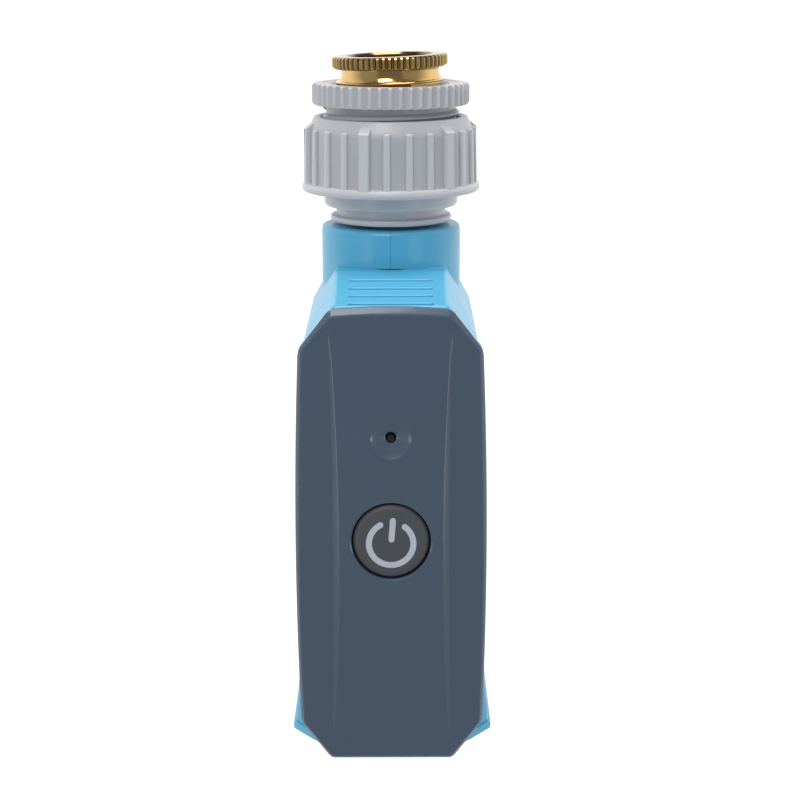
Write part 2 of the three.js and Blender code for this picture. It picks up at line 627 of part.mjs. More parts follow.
function frontPanel() {
  const { rear, face, field } = PANEL;
  const plate = hull([...outlineAt(rear, 0), ...outlineAt(face + 0.9, 0), ...browAt(face + 0.25, -0.4, 0.8),
    ...browAt(face, -0.8, 1.5)]);
  const raised = slabY(fieldShape(), field, face + 0.2, 10);
  const dimple = turnedY([[0, field - 0.1], [4.5, field - 0.1], [1.15, face + 0.5], [1.15, rear + 1],
    [0, rear + 1]], 0, LAMP_Z, 24);
  return without(plate.add(raised), [dimple, discY(9.1, -50, -40, 0, BUTTON.z, 36)]);
}

function powerButton() {
  const { z, r, face } = BUTTON;
  const cap = turnedY([[0, face], [r - 1.2, face], [r - 0.4, face + 0.3], [r, face + 1.0], [r, -42.7],
    [9.9, -42.7], [9.9, -41.9], [2.5, -41.9], [2.5, -41.3], [0, -41.3]], 0, z, 36);
  return without(cap, [arcMark(0.12, face - 1, face + 0.55), barMark(0.12, face - 1, face + 0.55)]);
}

const MARK = { outer: 5.8, stroke: 1.4, gap: 33.2, turn: 4.4, drop: 0.5 };

function placedMark(body) {
  return body.rotate([0, MARK.turn, 0]).translate([0, 0, BUTTON.z - MARK.drop]);
}

function arcMark(grow, front, rear) {
  const start = deg(90 + MARK.gap - grow * 8);
  const end = deg(450 - MARK.gap + grow * 8);
  const shape = new THREE.Shape();
  shape.absarc(0, 0, MARK.outer + grow, start, end, false);
  shape.absarc(0, 0, MARK.outer - MARK.stroke - grow, end, start, true);
  return placedMark(slabY(shape, front, rear, 10));
}

function barMark(grow, front, rear) {
  const half = 0.72 + grow;
  return placedMark(block(-half, half, front, rear, 0.5 - grow, 6.2 + grow));
}

function batteryTray() {
  const outer = mirrored([[11.8, -33.0], [16.2, -28.2], [16.2, -17.6]]);
  const inner = mirrored([[10.9, -31.8], [15.1, -27.5], [15.1, -10]]);
  const shell = slabZ(polygon(outer), 2.9, 60.6).subtract(slabZ(polygon(inner), 4.1, 59.4));
  const divider = block(-0.35, 0.35, -32, -27.5, 4, 59.5);
  return shell.add(divider);
}

function cell(x, up) {
  const { r, y, body, nub } = CELL;
  const shape = turned([[0, 0], [r, 0], [r, body], [2.7, body], [2.7, body + nub], [0, body + nub]], 24);
  const placed = up ? shape.translate([0, 0, 8.1]) : shape.mirror([0, 0, 1]).translate([0, 0, 55.6]);
  return placed.translate([x, y, 0]);
}

function cellSpring(x, low, flip) {
  const coil = tube(new Coil(4.2, 2.6, 2.2, 2), 0.28, 22, 4);
  const placed = flip ? coil.mirror([0, 0, 1]).translate([0, 0, low + 2.4]) : coil.translate([0, 0, low + 0.3]);
  return placed.translate([x, CELL.y, 0]);
}

function printedBoard() {
  const { front, rear, half, low, top } = BOARD;
  const shape = polygon(mirrored([[half - 1.5, low], [half, low + 1.5], [half, top - 1.5], [half - 1.5, top]]));
  const holes = [[12.5, 84.2], [-12.5, 47.4]].map(([x, z]) => discY(1.1, -40, -30, x, z, 12));
  return without(slabY(shape, front, rear), holes);
}

function tactSwitch() {
  const base = block(-3.1, 3.1, -39.9, BOARD.front - GAP, BUTTON.z - 3.1, BUTTON.z + 3.1);
  return base.subtract(discY(1.9, -45, -37.9, 0, BUTTON.z, 12));
}

function statusLamp() {
  const front = BOARD.front;
  return turnedY([[0, front - 2.2], [0.9, front - 2.0], [1.5, front - 1.3], [1.5, front - GAP],
    [0, front - GAP]], 0, LAMP_Z, 16);
}

function lightPipe() {
  return turnedY([[0, -44.9], [0.85, -44.9], [0.85, -41.1], [2.0, -41.1], [2.0, -40.4], [0.85, -40.4],
    [0.85, -39.0], [0, -39.0]], 0, LAMP_Z, 10);
}

function contactPin(x) {
  return turnedY([[0, -34.7], [1.2, -34.7], [1.2, -31.5], [0.6, -31.5], [0.6, -27.2], [0, -27.2]], x, 71, 8);
}

function drawerSeal() {
  const edge = (inset) => polygon(section(0, inset, BODY.topRear).map(([x, , z]) => [x, z]));
  const rim = slabY(edge(0.5), SEAM_Y - 0.22, SEAM_Y + 0.22);
  return rim.subtract(slabY(edge(1.6), SEAM_Y - 1, SEAM_Y + 1));
}

function drawer() {
  const group = new THREE.Group();
  group.name = "drawer";
  const { face } = BUTTON;
  group.add(
    piece("front_case", frontCase(), "blue"),
    piece("front_panel", frontPanel(), "slate"),
    piece("drawer_seal", drawerSeal(), "rubber"),
    piece("power_button", powerButton(), "darkGrey"),
    piece("button_mark_ring", arcMark(0, face - 0.03, face + 0.45), "paleMark"),
    piece("button_mark_bar", barMark(0, face - 0.03, face + 0.45), "paleMark"),
    piece("battery_tray", batteryTray(), "darkGrey"),
    piece("cell_left", cell(-CELL.x, false), "cell"),
    piece("cell_right", cell(CELL.x, true), "cell"),
    piece("cell_contact_bottom", block(-12, 12, -27.2, -20, 4.4, 4.8), "steel"),
    piece("cell_contact_top_left", block(-12.5, -3, -28, -20, 58.7, 59.1), "steel"),
    piece("cell_contact_top_right", block(3, 12.5, -28, -20, 58.7, 59.1), "steel"),
    piece("cell_spring_bottom", cellSpring(CELL.x, 5.1, false), "steel"),
    piece("cell_spring_top", cellSpring(-CELL.x, 55.9, true), "steel"),
    piece("circuit_board", printedBoard(), "board"),
    piece("tact_switch", tactSwitch(), "darkGrey"),
    piece("switch_plunger", discY(1.7, -41.0, -38.9, 0, BUTTON.z, 12), "rubber"),
    piece("status_led", statusLamp(), "clear"),
    piece("light_pipe", lightPipe(), "clear"),
    piece("radio_module", block(-7.2, 7.2, BOARD.rear + GAP, -32.4, 62.5, 76.5), "steel"),
    piece("contact_pin_a", contactPin(9.0), "brass"),
    piece("contact_pin_b", contactPin(13.2), "brass"),
  );
  [[12.5, 84.2], [-12.5, 47.4]].forEach(([x, z], i) => {
    const screw = panScrew(1.7, 0.9, 0.5, 5).rotate([-90, 0, 0]).translate([x, -34.7, z]);
    group.add(piece(`board_screw_${i + 1}`, screw, "steel"));
  });
  return group;
}

// ---------------------------------------------------------------- whole timer
const timer = new THREE.Group();
timer.name = "drip_irrigation_timer";
timer.add(inletStack(), housing(), gearbox(), drawer(), piece("outlet_stub", outletStub(), "grey"));
timer.position.z = -INLET.top;

export default timer;
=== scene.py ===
"""Finished look of a drip irrigation timer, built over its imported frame.

Shapes are drawn in millimetres, with heights taken from the lower edge of the front panel, and are
put in the frame's metres when each piece is finished.
"""

import json
import math

import bmesh
import bpy
from bpy.props import FloatProperty, FloatVectorProperty, IntProperty, PointerProperty
from mathutils import Matrix, Vector


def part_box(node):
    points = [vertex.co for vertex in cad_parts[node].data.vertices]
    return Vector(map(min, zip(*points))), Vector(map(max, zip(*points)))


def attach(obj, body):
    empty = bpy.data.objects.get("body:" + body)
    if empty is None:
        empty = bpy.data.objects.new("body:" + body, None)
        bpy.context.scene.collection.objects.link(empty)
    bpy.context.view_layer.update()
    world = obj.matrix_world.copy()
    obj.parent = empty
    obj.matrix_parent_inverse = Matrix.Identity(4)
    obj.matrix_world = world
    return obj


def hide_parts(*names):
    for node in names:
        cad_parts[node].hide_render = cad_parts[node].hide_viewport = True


bl_info = {
    "name": "Drip irrigation timer",
    "version": (1, 0, 0),
    "blender": (4, 5, 0),
    "location": "3D View > Sidebar > Timer",
    "description": "Builds the shells, threaded fittings, panel and finishes of a tap timer",
    "category": "Object",
}

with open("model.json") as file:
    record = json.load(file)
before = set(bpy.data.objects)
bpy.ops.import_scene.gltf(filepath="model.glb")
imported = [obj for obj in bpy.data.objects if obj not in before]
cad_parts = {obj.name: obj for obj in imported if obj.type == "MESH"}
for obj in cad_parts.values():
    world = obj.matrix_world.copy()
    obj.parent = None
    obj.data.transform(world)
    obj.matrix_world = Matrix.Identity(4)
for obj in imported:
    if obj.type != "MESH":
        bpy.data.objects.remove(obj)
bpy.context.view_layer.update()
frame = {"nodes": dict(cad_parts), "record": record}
BUTTON_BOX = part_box("power_button")
MM = 0.001
BUTTON_HEIGHT = 53.6
LAMP_HEIGHT = 78
# Height in the frame of the drawing's zero height.
BASE = (BUTTON_BOX[0][2] + BUTTON_BOX[1][2]) / 2 - BUTTON_HEIGHT * MM
SEAM = -16.7  # depth of the plane between drawer and housing
CASE_FRONT = -42.9
CASE_TOP = 111.8  # height of the case behind its slope
SLOPE_FOOT = 108  # height of the slope at the front
SLOPE_RISE = (CASE_TOP - SLOPE_FOOT) / (-16 - CASE_FRONT)
WIDE_PITCH = 2.309  # thread between nut and ring
NARROW_PITCH = 1.814  # thread of the brass adapter and of the outlet
BRASS_LEAN = 1.9  # degrees that the brass adapter leans in its loose thread
BRASS_PIVOT = 154.5  # height that it leans about
BOARD_SCREWS = [(12.5, 84.2), (-12.5, 47.4)]
SCREW_ROWS = [14, 42, 67, 95]
GROOVE_SHADE_TONE = 0.80  # how dark the painted groove shade is beside the rib tops


# ---------------------------------------------------------------- properties
class TimerSizes(bpy.types.PropertyGroup):
    """Sizes that a user would change, in millimetres."""

    edge: FloatProperty(
        name="Shell edge", description="Rounding of the blue shell edges",
        default=0.9, min=0.1, max=2)
    rim: FloatProperty(
        name="Panel rim", description="Width of the panel's sloping rim",
        default=0.7, min=0.2, max=2)
    nut_ribs: IntProperty(
        name="Nut ribs", description="Rib places round the swivel nut",
        default=24, min=8, max=48)
    ring_ribs: IntProperty(
        name="Ring ribs", description="Ribs round the grey ring",
        default=48, min=20, max=90)
    knurls: IntProperty(
        name="Brass knurls", description="Knurls round the brass flange",
        default=60, min=20, max=90)
    turn_steps: IntProperty(
        name="Turned steps", description="Steps round a turned shape",
        default=120, min=24, max=240)


class TimerColours(bpy.types.PropertyGroup):
    """Colours that a user would change."""

    shell: FloatVectorProperty(
        name="Shell", description="Case colour",
        subtype="COLOR", default=(0.095, 0.46, 0.70))
    panel: FloatVectorProperty(
        name="Panel", description="Front panel",
        subtype="COLOR", default=(0.066, 0.104, 0.158))
    fitting: FloatVectorProperty(
        name="Fittings", description="Grey fittings",
        subtype="COLOR", default=(0.60, 0.61, 0.645))
    button: FloatVectorProperty(
        name="Button", description="Button cap",
        subtype="COLOR", default=(0.078, 0.085, 0.096))
    mark: FloatVectorProperty(
        name="Mark", description="Power mark",
        subtype="COLOR", default=(0.56, 0.61, 0.70))
    brass: FloatVectorProperty(
        name="Brass", description="Inlet adapter",
        subtype="COLOR", default=(0.74, 0.49, 0.19))


# ---------------------------------------------------------------- shader helpers
class Value:
    """A shader socket that takes part in Python arithmetic."""

    def __init__(self, shade, socket):
        self.shade = shade
        self.socket = socket

    def _math(self, operation, first, second=None):
        return self.shade.add("ShaderNodeMath", {"operation": operation}, [first, second])

    def __add__(self, other):
        return self._math("ADD", self, other)

    __radd__ = __add__

    def __sub__(self, other):
        return self._math("SUBTRACT", self, other)

    def __rsub__(self, other):
        return self._math("SUBTRACT", other, self)

    def __mul__(self, other):
        return self._math("MULTIPLY", self, other)

    __rmul__ = __mul__

    def __truediv__(self, other):
        return self._math("DIVIDE", self, other)

    def __pow__(self, other):
        return self._math("POWER", self, other)

    def clamped(self):
        return self.shade.add("ShaderNodeClamp", {}, [self, 0.0, 1.0])


class Shade:
    """One procedural material and the nodes in it."""

    def __init__(self, name):
        self.material = bpy.data.materials.new(name)
        self.material.use_nodes = True
        self.tree = self.material.node_tree
        self.surface = self.tree.nodes["Principled BSDF"]
        self.place = self.add("ShaderNodeTexCoord", {}, {}, "Object")

    def add(self, kind, settings, values, output=0):
        """A node of this kind: settings first, then socket values or links. Returns one output."""
        node = self.tree.nodes.new(kind)
        for key, value in settings.items():
            if key == "stops":
                self._fill_ramp(node, value)
            else:
                setattr(node, key, value)
        pairs = values.items() if isinstance(values, dict) else enumerate(values)
        for key, value in pairs:
            if value is not None:
                self.feed(node.inputs[key], value)
        return Value(self, node.outputs[output])

    def _fill_ramp(self, node, stops):
        elements = node.color_ramp.elements
        while len(elements) < len(stops):
            elements.new(0.5)
        for element, (position, colour) in zip(elements, stops):
            element.position = position
            element.color = (*colour, 1.0) if len(colour) == 3 else colour

    def feed(self, socket, value):
        if isinstance(value, Value):
            self.tree.links.new(value.socket, socket)
        else:
            socket.default_value = value

    def set(self, **sockets):
        """Constants or links on the surface, named with underscores for spaces."""
        for key, value in sockets.items():
            self.feed(self.surface.inputs[key.replace("_", " ")], value)

    def noise(self, scale, detail=2.0, vector=None, rough=0.5):
        values = {"Vector": vector or self.place, "Scale": scale, "Detail": detail, "Roughness": rough}
        return self.add("ShaderNodeTexNoise", {}, values, "Fac")

    def stretched(self, x, y, z):
        """Object place with each axis scaled by its own amount."""
        return self.add("ShaderNodeMapping", {}, {"Vector": self.place, "Scale": (x, y, z)}, "Vector")

    def axes(self):
        node = self.add("ShaderNodeSeparateXYZ", {}, {"Vector": self.place}, "X")
        outputs = node.socket.node.outputs
        return [Value(self, outputs[axis]) for axis in "XYZ"]

    def rib_share(self, ribs, lean=0.0, pivot=0.0):
        """0 on groove floors and 1 on rib tops, by the radius from an axis leaning at the pivot height; it
        places the painted shade in grooves.
        """
        x, y, z = self.axes()
        if lean:
            x = x + (z - pivot) * lean
        return (((x * x + y * y) ** 0.5 - ribs[0]) / (ribs[1] - ribs[0])).clamped()

    def mixed(self, factor, dark, light):
        """Colour between two colours."""
        node = self.tree.nodes.new("ShaderNodeMix")
        node.data_type = "RGBA"
        for socket, value in zip((node.inputs[0], node.inputs[6], node.inputs[7]), (factor, dark, light)):
            if not isinstance(value, Value) and socket is not node.inputs[0]:
                value = (*value, 1.0)
            self.feed(socket, value)
        return Value(self, node.outputs[2])

    def relief(self, height, depth, strength=1.0):
        """Bump of a height from 0 to 1 that is depth metres deep."""
        values = {"Height": height, "Distance": depth, "Strength": strength}
        self.set(Normal=self.add("ShaderNodeBump", {}, values, "Normal"))


def tint(colour, factor):
    return tuple(min(1.0, channel * factor) for channel in colour)


def moulded(name, colour, rough=0.4, grain=0.00004, scale=2600.0, spread=0.06, coat=0.0, gloss=0.25,
             ribs=None):
    """Moulded plastic: slow colour drift, fine spark-eroded grain and uneven gloss.

    ribs gives the radii, in metres, of the groove floors and of the rib tops; the groove floors get
    painted shade, darker than the rib tops.
    """
    shade = Shade(name)
    drift = shade.noise(45.0, 3.0)
    grit = shade.noise(scale, 3.0, rough=0.65)
    scuffs = shade.noise(260.0, 4.0, shade.stretched(1.0, 1.0, 0.35))
    tone = (drift * 0.8 + grit * 0.2).clamped()
    base = shade.mixed(tone, tint(colour, 1 - spread), tint(colour, 1 + spread))
    # Painted shade: the groove floors are darkened and the rib tops keep the plain colour.
    if ribs:
        rib_share = shade.rib_share(ribs)
        groove_shade = shade.mixed(tone, *(tint(colour, GROOVE_SHADE_TONE * share) for share in (1 - spread, 1 + spread)))
        base = shade.mixed(rib_share, groove_shade, base)
    shade.set(
        Base_Color=base,
        Roughness=(scuffs - 0.5) * 0.12 + (grit - 0.5) * 0.06 + rough,
        Coat_Roughness=gloss,
        Coat_Weight=coat,
    )
    shade.relief(grit * 0.7 + scuffs * 0.3, grain)
    return shade.material


def turned_metal(name, colour, rough=0.16, lines=9000.0, depth=0.000012, tarnish=0.10, knurl=None):
    """Lathe-turned metal: rings up the axis, light tarnish and polish marks.

    knurl gives the height where a knurled flange starts, the radii of its floors and tops, and the
    height that its axis leans about; its floors get painted shade.
    """
    shade = Shade(name)
    rings = shade.noise(1.0, 2.0, shade.stretched(40.0, 40.0, lines))
    cloud = shade.noise(160.0, 4.0)
    base = shade.mixed(cloud, tint(colour, 1 - tarnish), tint(colour, 1 + tarnish * 0.6))
    # Painted shade: the knurl floors are darkened towards a dark tint of the brass.
    if knurl:
        _, _, z = shade.axes()
        flange = ((z - knurl[0]) * 4000).clamped()
        floors = (1 - shade.rib_share(knurl[1], math.tan(math.radians(BRASS_LEAN)), knurl[2])) * flange
        base = shade.mixed(floors, base, tint(colour, 0.42))
    shade.set(
        Base_Color=base,
        Metallic=1.0,
        Roughness=(rings - 0.5) * 0.10 + (cloud - 0.5) * 0.12 + rough,
    )
    shade.relief(rings, depth)
    return shade.material


def soft_rubber(name, colour=(0.018, 0.018, 0.02)):
    """Rubber: matt, with a dusting of bloom."""
    shade = Shade(name)
    bloom = shade.noise(420.0, 5.0)
    shade.set(
        Base_Color=shade.mixed(bloom, tint(colour, 0.7), tint(colour, 1.9)),
        Roughness=bloom * 0.2 + 0.68,
    )
    shade.relief(bloom, 0.00002)
    return shade.material


def board_laminate(name):
    """Printed board: green mask over a faint weave, with copper runs showing through."""
    shade = Shade(name)
    weave = shade.noise(1500.0, 1.0, shade.stretched(1.0, 1.0, 3.0))
    x, _, z = shade.axes()
    runs = shade.add("ShaderNodeTexBrick", {"offset": 0.37}, {
        "Vector": shade.add("ShaderNodeCombineXYZ", {}, [x, z, 0.0]),
        "Color1": (0, 0, 0, 1), "Color2": (0, 0, 0, 1), "Mortar": (1, 1, 1, 1),
        "Scale": 260.0, "Mortar Size": 0.035, "Brick Width": 1.3, "Row Height": 0.45}, "Fac")
    base = shade.mixed(weave, (0.008, 0.085, 0.030), (0.014, 0.13, 0.045))
    node = shade.mixed(runs * 0.75, (0, 0, 0), (0.05, 0.27, 0.10))
    shade.tree.links.new(base.socket, node.socket.node.inputs[6])
    shade.set(Base_Color=node, Roughness=weave * 0.1 + 0.3)
    shade.relief(runs, 0.00004)
    return shade.material


def cell_wrap(name):
    """Foil wrap of a cell: dark body, copper-coloured end band and bare steel ends."""
    shade = Shade(name)
    marks = shade.noise(500.0, 3.0, shade.stretched(1.0, 1.0, 0.1))
    _, _, z = shade.axes()
    low, high = (corner[2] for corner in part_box("cell_right"))
    share = (z - low) / (high - low)
    stops = [(0.0, (0.50, 0.50, 0.52)), (0.015, (0.02, 0.03, 0.06)), (0.72, (0.02, 0.03, 0.06)),
             (0.73, (0.62, 0.29, 0.12)), (0.955, (0.62, 0.29, 0.12)), (0.965, (0.55, 0.55, 0.57))]
    band = shade.add("ShaderNodeValToRGB", {"stops": stops}, {"Fac": share}, "Color")
    band.socket.node.color_ramp.interpolation = "CONSTANT"
    shade.set(Base_Color=band, Metallic=0.65, Roughness=marks * 0.15 + 0.22)
    shade.relief(marks, 0.00001)
    return shade.material


def clear_part(name, colour=(0.85, 0.90, 0.92), through=0.35, rough=0.08):
    """Clear moulding: light pipe or lamp lens."""
    shade = Shade(name)
    haze = shade.noise(900.0, 3.0)
    shade.set(Base_Color=shade.mixed(haze, tint(colour, 0.9), colour), Roughness=haze * 0.1 + rough)
    shade.surface.inputs["Transmission Weight"].default_value = through
    return shade.material


def finishes(colours):
    """Every finish of the timer by name."""
    return {
        "shell": moulded("blue_shell_plastic", tuple(colours.shell), 0.34, 0.000015, 3200.0, 0.03, 0.1),
        "panel": moulded("slate_panel_plastic", tuple(colours.panel), 0.42, 0.00003, 4200.0, 0.10, 0.5, 0.14),
        "fitting": moulded("grey_fitting_plastic", tuple(colours.fitting), 0.36, 0.00002, 3000.0, 0.03),
        "nut": moulded("grey_nut_plastic", tuple(colours.fitting), 0.36, 0.00002, 3000.0, 0.03,
                       ribs=(0.0200, 0.0207)),
        "ring": moulded("grey_ring_plastic", tuple(colours.fitting), 0.36, 0.00002, 3000.0, 0.03,
                        ribs=(0.0182, 0.0188)),
        "button": moulded("charcoal_button_plastic", tuple(colours.button), 0.50, 0.00003, 4200.0, 0.08),
        "mark": moulded("pale_mark_ink", tuple(colours.mark), 0.5, 0.00001, 5000.0, 0.03),
        "brass": turned_metal("turned_brass", tuple(colours.brass), 0.14, tarnish=0.14,
                              knurl=(BASE + 0.1578, (0.01330, 0.01360), BASE + BRASS_PIVOT * MM)),
        "steel": turned_metal("zinc_plated_steel", (0.60, 0.61, 0.63), 0.28, 3000.0, 0.00001, 0.06),
        "chrome": turned_metal("plated_ball", (0.78, 0.79, 0.80), 0.08, 600.0, 0.000002, 0.03),
        "white": moulded("white_valve_plastic", (0.72, 0.72, 0.69), 0.38, 0.00003, 2400.0, 0.04),
        "tray": moulded("black_tray_plastic", (0.03, 0.031, 0.034), 0.45, 0.00003, 3000.0, 0.12),
        "red": moulded("red_lead_sleeve", (0.42, 0.02, 0.02), 0.45, 0.00002, 3000.0, 0.08),
        "rubber": soft_rubber("black_rubber"),
        "board": board_laminate("green_board"),
        "cell": cell_wrap("cell_foil"),
        "clear": clear_part("clear_moulding"),
        # Near-black finish, not clear, for the light pipe and the lamp.
        "near_black": clear_part("near_black_light_pipe", (0.005, 0.004, 0.004), 0.0, 0.45),
    }


FINISH = {}


# ---------------------------------------------------------------- shape helpers
def turned(profile, steps):
    """Closed turned mesh about Z from (radius, height) pairs; it touches the axis or closes on itself."""
    bm = bmesh.new()
    verts = [bm.verts.new((r, 0.0, z)) for r, z in profile]
    if profile[0][0] > 1e-6:
        verts.append(verts[0])
    edges = [bm.edges.new(pair) for pair in zip(verts, verts[1:])]
    bmesh.ops.spin(bm, geom=list(bm.verts) + edges, cent=(0, 0, 0), axis=(0, 0, 1), dvec=(0, 0, 0),
                   angle=2 * math.pi, steps=steps, use_merge=True, use_duplicate=False)
    bmesh.ops.remove_doubles(bm, verts=bm.verts, dist=1e-4)
    bmesh.ops.recalc_face_normals(bm, faces=bm.faces)
    return bm


def turned_y(profile, x, z, steps):
    """The same about an axis along Y through (x, z): heights become depths."""
    bm = turned(profile, steps)
    bmesh.ops.rotate(bm, verts=bm.verts, cent=(0, 0, 0), matrix=Matrix.Rotation(math.radians(-90), 3, "X"))
    bmesh.ops.translate(bm, verts=bm.verts, vec=(x, 0, z))
    return bm


def disc_y(radius, front, rear, x, z, steps=64):
    return turned_y([(0, front), (radius, front), (radius, rear), (0, rear)], x, z, steps)


def disc_z(radius, low, high, steps=96):
    return turned([(0, low), (radius, low), (radius, high), (0, high)], steps)


def disc_x(radius, low, high, y, z, steps=32):
    bm = disc_z(radius, low, high, steps)
    bmesh.ops.rotate(bm, verts=bm.verts, cent=(0, 0, 0), matrix=Matrix.Rotation(math.radians(90), 3, "Y"))
    bmesh.ops.translate(bm, verts=bm.verts, vec=(0, y, z))
    return bm


def block(x0, x1, y0, y1, z0, z1, soft=0.0, segments=3):
    """Box between limits, with its edges rounded if soft is given."""
    bm = bmesh.new()
    bmesh.ops.create_cube(bm, size=1.0)
    bmesh.ops.scale(bm, verts=bm.verts, vec=(x1 - x0, y1 - y0, z1 - z0))
    bmesh.ops.translate(bm, verts=bm.verts, vec=((x0 + x1) / 2, (y0 + y1) / 2, (z0 + z1) / 2))
    if soft:
        rounded(bm, soft, segments)
    return bm


def rounded(bm, width, segments=3, limit=12.0, keep=None):
    """Rounds every edge sharper than the limit, or those that keep() picks."""
    chosen = [e for e in bm.edges if e.is_manifold and e.calc_face_angle(0.0) > math.radians(limit)]
    if keep:
        chosen = [e for e in chosen if keep(e)]
    bmesh.ops.bevel(bm, geom=chosen, offset=width, offset_type="OFFSET", segments=segments, profile=0.5,
                    affect="EDGES", clamp_overlap=True, material=-1)
    return bm


def hull(points):
    """Closed convex mesh round the points, with flat faces merged."""
    bm = bmesh.new()
    for point in points:
        bmesh.ops.create_vert(bm, co=point)
    made = bmesh.ops.convex_hull(bm, input=bm.verts)
    loose = [v for v in made["geom_interior"] + made["geom_unused"] if isinstance(v, bmesh.types.BMVert)]
    bmesh.ops.delete(bm, geom=list(set(loose)), context="VERTS")
    bmesh.ops.dissolve_limit(bm, angle_limit=math.radians(0.6), verts=bm.verts, edges=bm.edges)
    bmesh.ops.recalc_face_normals(bm, faces=bm.faces)
    return bm


def lofted(rings):
    """Closed solid through outlines that have the same number of points, flat at both ends."""
    bm = bmesh.new()
    face = bm.faces.new([bm.verts.new(point) for point in rings[0]])
    for before, after in zip(rings, rings[1:]):
        made = bmesh.ops.extrude_face_region(bm, geom=[face])
        if before is not rings[0]:
            bmesh.ops.delete(bm, geom=[face], context="FACES_ONLY")
        face = next(item for item in made["geom"] if isinstance(item, bmesh.types.BMFace))
        for vert in face.verts:
            vert.co = min(zip(before, after), key=lambda pair: (Vector(pair[0]) - vert.co).length)[1]
    bmesh.ops.recalc_face_normals(bm, faces=bm.faces)
    return bm


def merged(*parts):
    """All parts in one bmesh, not cut against each other."""
    whole = bmesh.new()
    for part in parts:
        mesh = bpy.data.meshes.new("part")
        part.to_mesh(mesh)
        part.free()
        whole.from_mesh(mesh)
        bpy.data.meshes.remove(mesh)
    return whole


def scratch(bm, name):
    mesh = bpy.data.meshes.new(name)
    bm.to_mesh(mesh)
    bm.free()
    thing = bpy.data.objects.new(name, mesh)
    bpy.context.scene.collection.objects.link(thing)
    return thing


def cut(whole, operation, *parts):
    """Boolean of the whole with each part in turn: UNION, DIFFERENCE or INTERSECT."""
    base = scratch(whole, "whole")
    tools = [scratch(part, "part") for part in parts]
    for tool in tools:
        step = base.modifiers.new("cut", "BOOLEAN")
        step.operation = operation
        step.solver = "EXACT"
        step.object = tool
    depsgraph = bpy.context.evaluated_depsgraph_get()
    result = bmesh.new()
    result.from_object(base, depsgraph)
    for thing in [base, *tools]:
        mesh = thing.data
        bpy.data.objects.remove(thing)
        bpy.data.meshes.remove(mesh)
    if not result.faces:
        raise RuntimeError(f"nothing left after {operation}")
    bmesh.ops.remove_doubles(result, verts=result.verts, dist=1e-4)
    torn = [edge for edge in result.edges if edge.is_boundary]
    if torn:
        bmesh.ops.holes_fill(result, edges=torn, sides=0)
    return result


def mirrored(pairs):
    """The pairs and their mirror images about x = 0, as one closed outline."""
    return pairs + [(-x, y) for x, y in reversed(pairs)]


def ridge(radius_in, radius_out, low, high, pitch, per_turn=96):
    """One helical thread ridge that fades at both ends; its root sits inside the shank."""
    bm = bmesh.new()
    half = pitch * 0.44
    section = [(radius_in - 0.25, -half), (radius_in, -half), (radius_out, -pitch * 0.07),
               (radius_out, pitch * 0.07), (radius_in, half), (radius_in - 0.25, half)]
    start = low + half
    turns = (high - low - 2 * half) / pitch
    face = bm.faces.new([bm.verts.new((r, 0, start + z)) for r, z in section])
    steps = int(per_turn * turns)
    bmesh.ops.spin(bm, geom=[face, *face.edges, *face.verts], cent=(0, 0, 0), axis=(0, 0, 1),
                   dvec=(0, 0, pitch * turns / steps), angle=2 * math.pi * turns, steps=steps,
                   use_merge=False, use_duplicate=False)
    fade = pitch * 0.35
    for vert in bm.verts:
        flat = math.hypot(vert.co.x, vert.co.y)
        depth = min(vert.co.z - (low + half * 0.4), (high - half * 0.4) - vert.co.z)
        share = max(0.0, min(1.0, depth / fade))
        if flat > radius_in - 0.1:
            wanted = radius_in - 0.12 + (flat - radius_in + 0.12) * share
            vert.co.x *= wanted / flat
            vert.co.y *= wanted / flat
    bmesh.ops.recalc_face_normals(bm, faces=bm.faces)
    return bm


def fluted(radius, depth, count, low, high, sharp=1.0):
    """Disc whose edge has equal rounded flutes."""
    bm = bmesh.new()
    bmesh.ops.create_circle(bm, cap_ends=True, radius=radius, segments=count * 8)
    for vert in bm.verts:
        angle = math.atan2(vert.co.y, vert.co.x)
        wave = 0.5 + 0.5 * math.cos(angle * count)
        scale = (radius - depth * (1 - wave ** sharp)) / radius
        vert.co.x *= scale
        vert.co.y *= scale
    bmesh.ops.translate(bm, verts=bm.verts, vec=(0, 0, low))
    made = bmesh.ops.extrude_face_region(bm, geom=list(bm.faces))
    verts = [v for v in made["geom"] if isinstance(v, bmesh.types.BMVert)]
    bmesh.ops.translate(bm, verts=verts, vec=(0, 0, high - low))
    bmesh.ops.recalc_face_normals(bm, faces=bm.faces)
    return bm


def placed(name, bm, finish, body, nodes=(), smooth=32.0):
    """Finished piece: scaled to metres, shaded, finished, riding on its body."""
    bmesh.ops.scale(bm, verts=bm.verts, vec=(MM, MM, MM))
    bmesh.ops.translate(bm, verts=bm.verts, vec=(0, 0, BASE))
    for face in bm.faces:
        face.smooth = True
    for edge in bm.edges:
        edge.smooth = not edge.is_manifold or edge.calc_face_angle(0.0) < math.radians(smooth)
    mesh = bpy.data.meshes.new(name)
    bm.to_mesh(mesh)
    bm.free()
    piece = bpy.data.objects.new(name, mesh)
    bpy.context.scene.collection.objects.link(piece)
    mesh.materials.append(FINISH[finish])
    normals = piece.modifiers.new("even_normals", "WEIGHTED_NORMAL")
    normals.keep_sharp = True
    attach(piece, body)
    if nodes:
        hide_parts(*nodes)
    return piece


# ---------------------------------------------------------------- case shapes
def section(y, inset, top):
    """Eight corners of the case at one depth."""
    side, flat = 20.0 - inset, 13.0 - 0.6 * inset
    corners = mirrored([(flat, top - inset), (side, 99 - 0.26 * inset), (side, 9 + 0.3 * inset),
                        (flat + 1 - 0.2 * inset, -0.5 + inset)])
    return [(x, y, z) for x, z in corners]


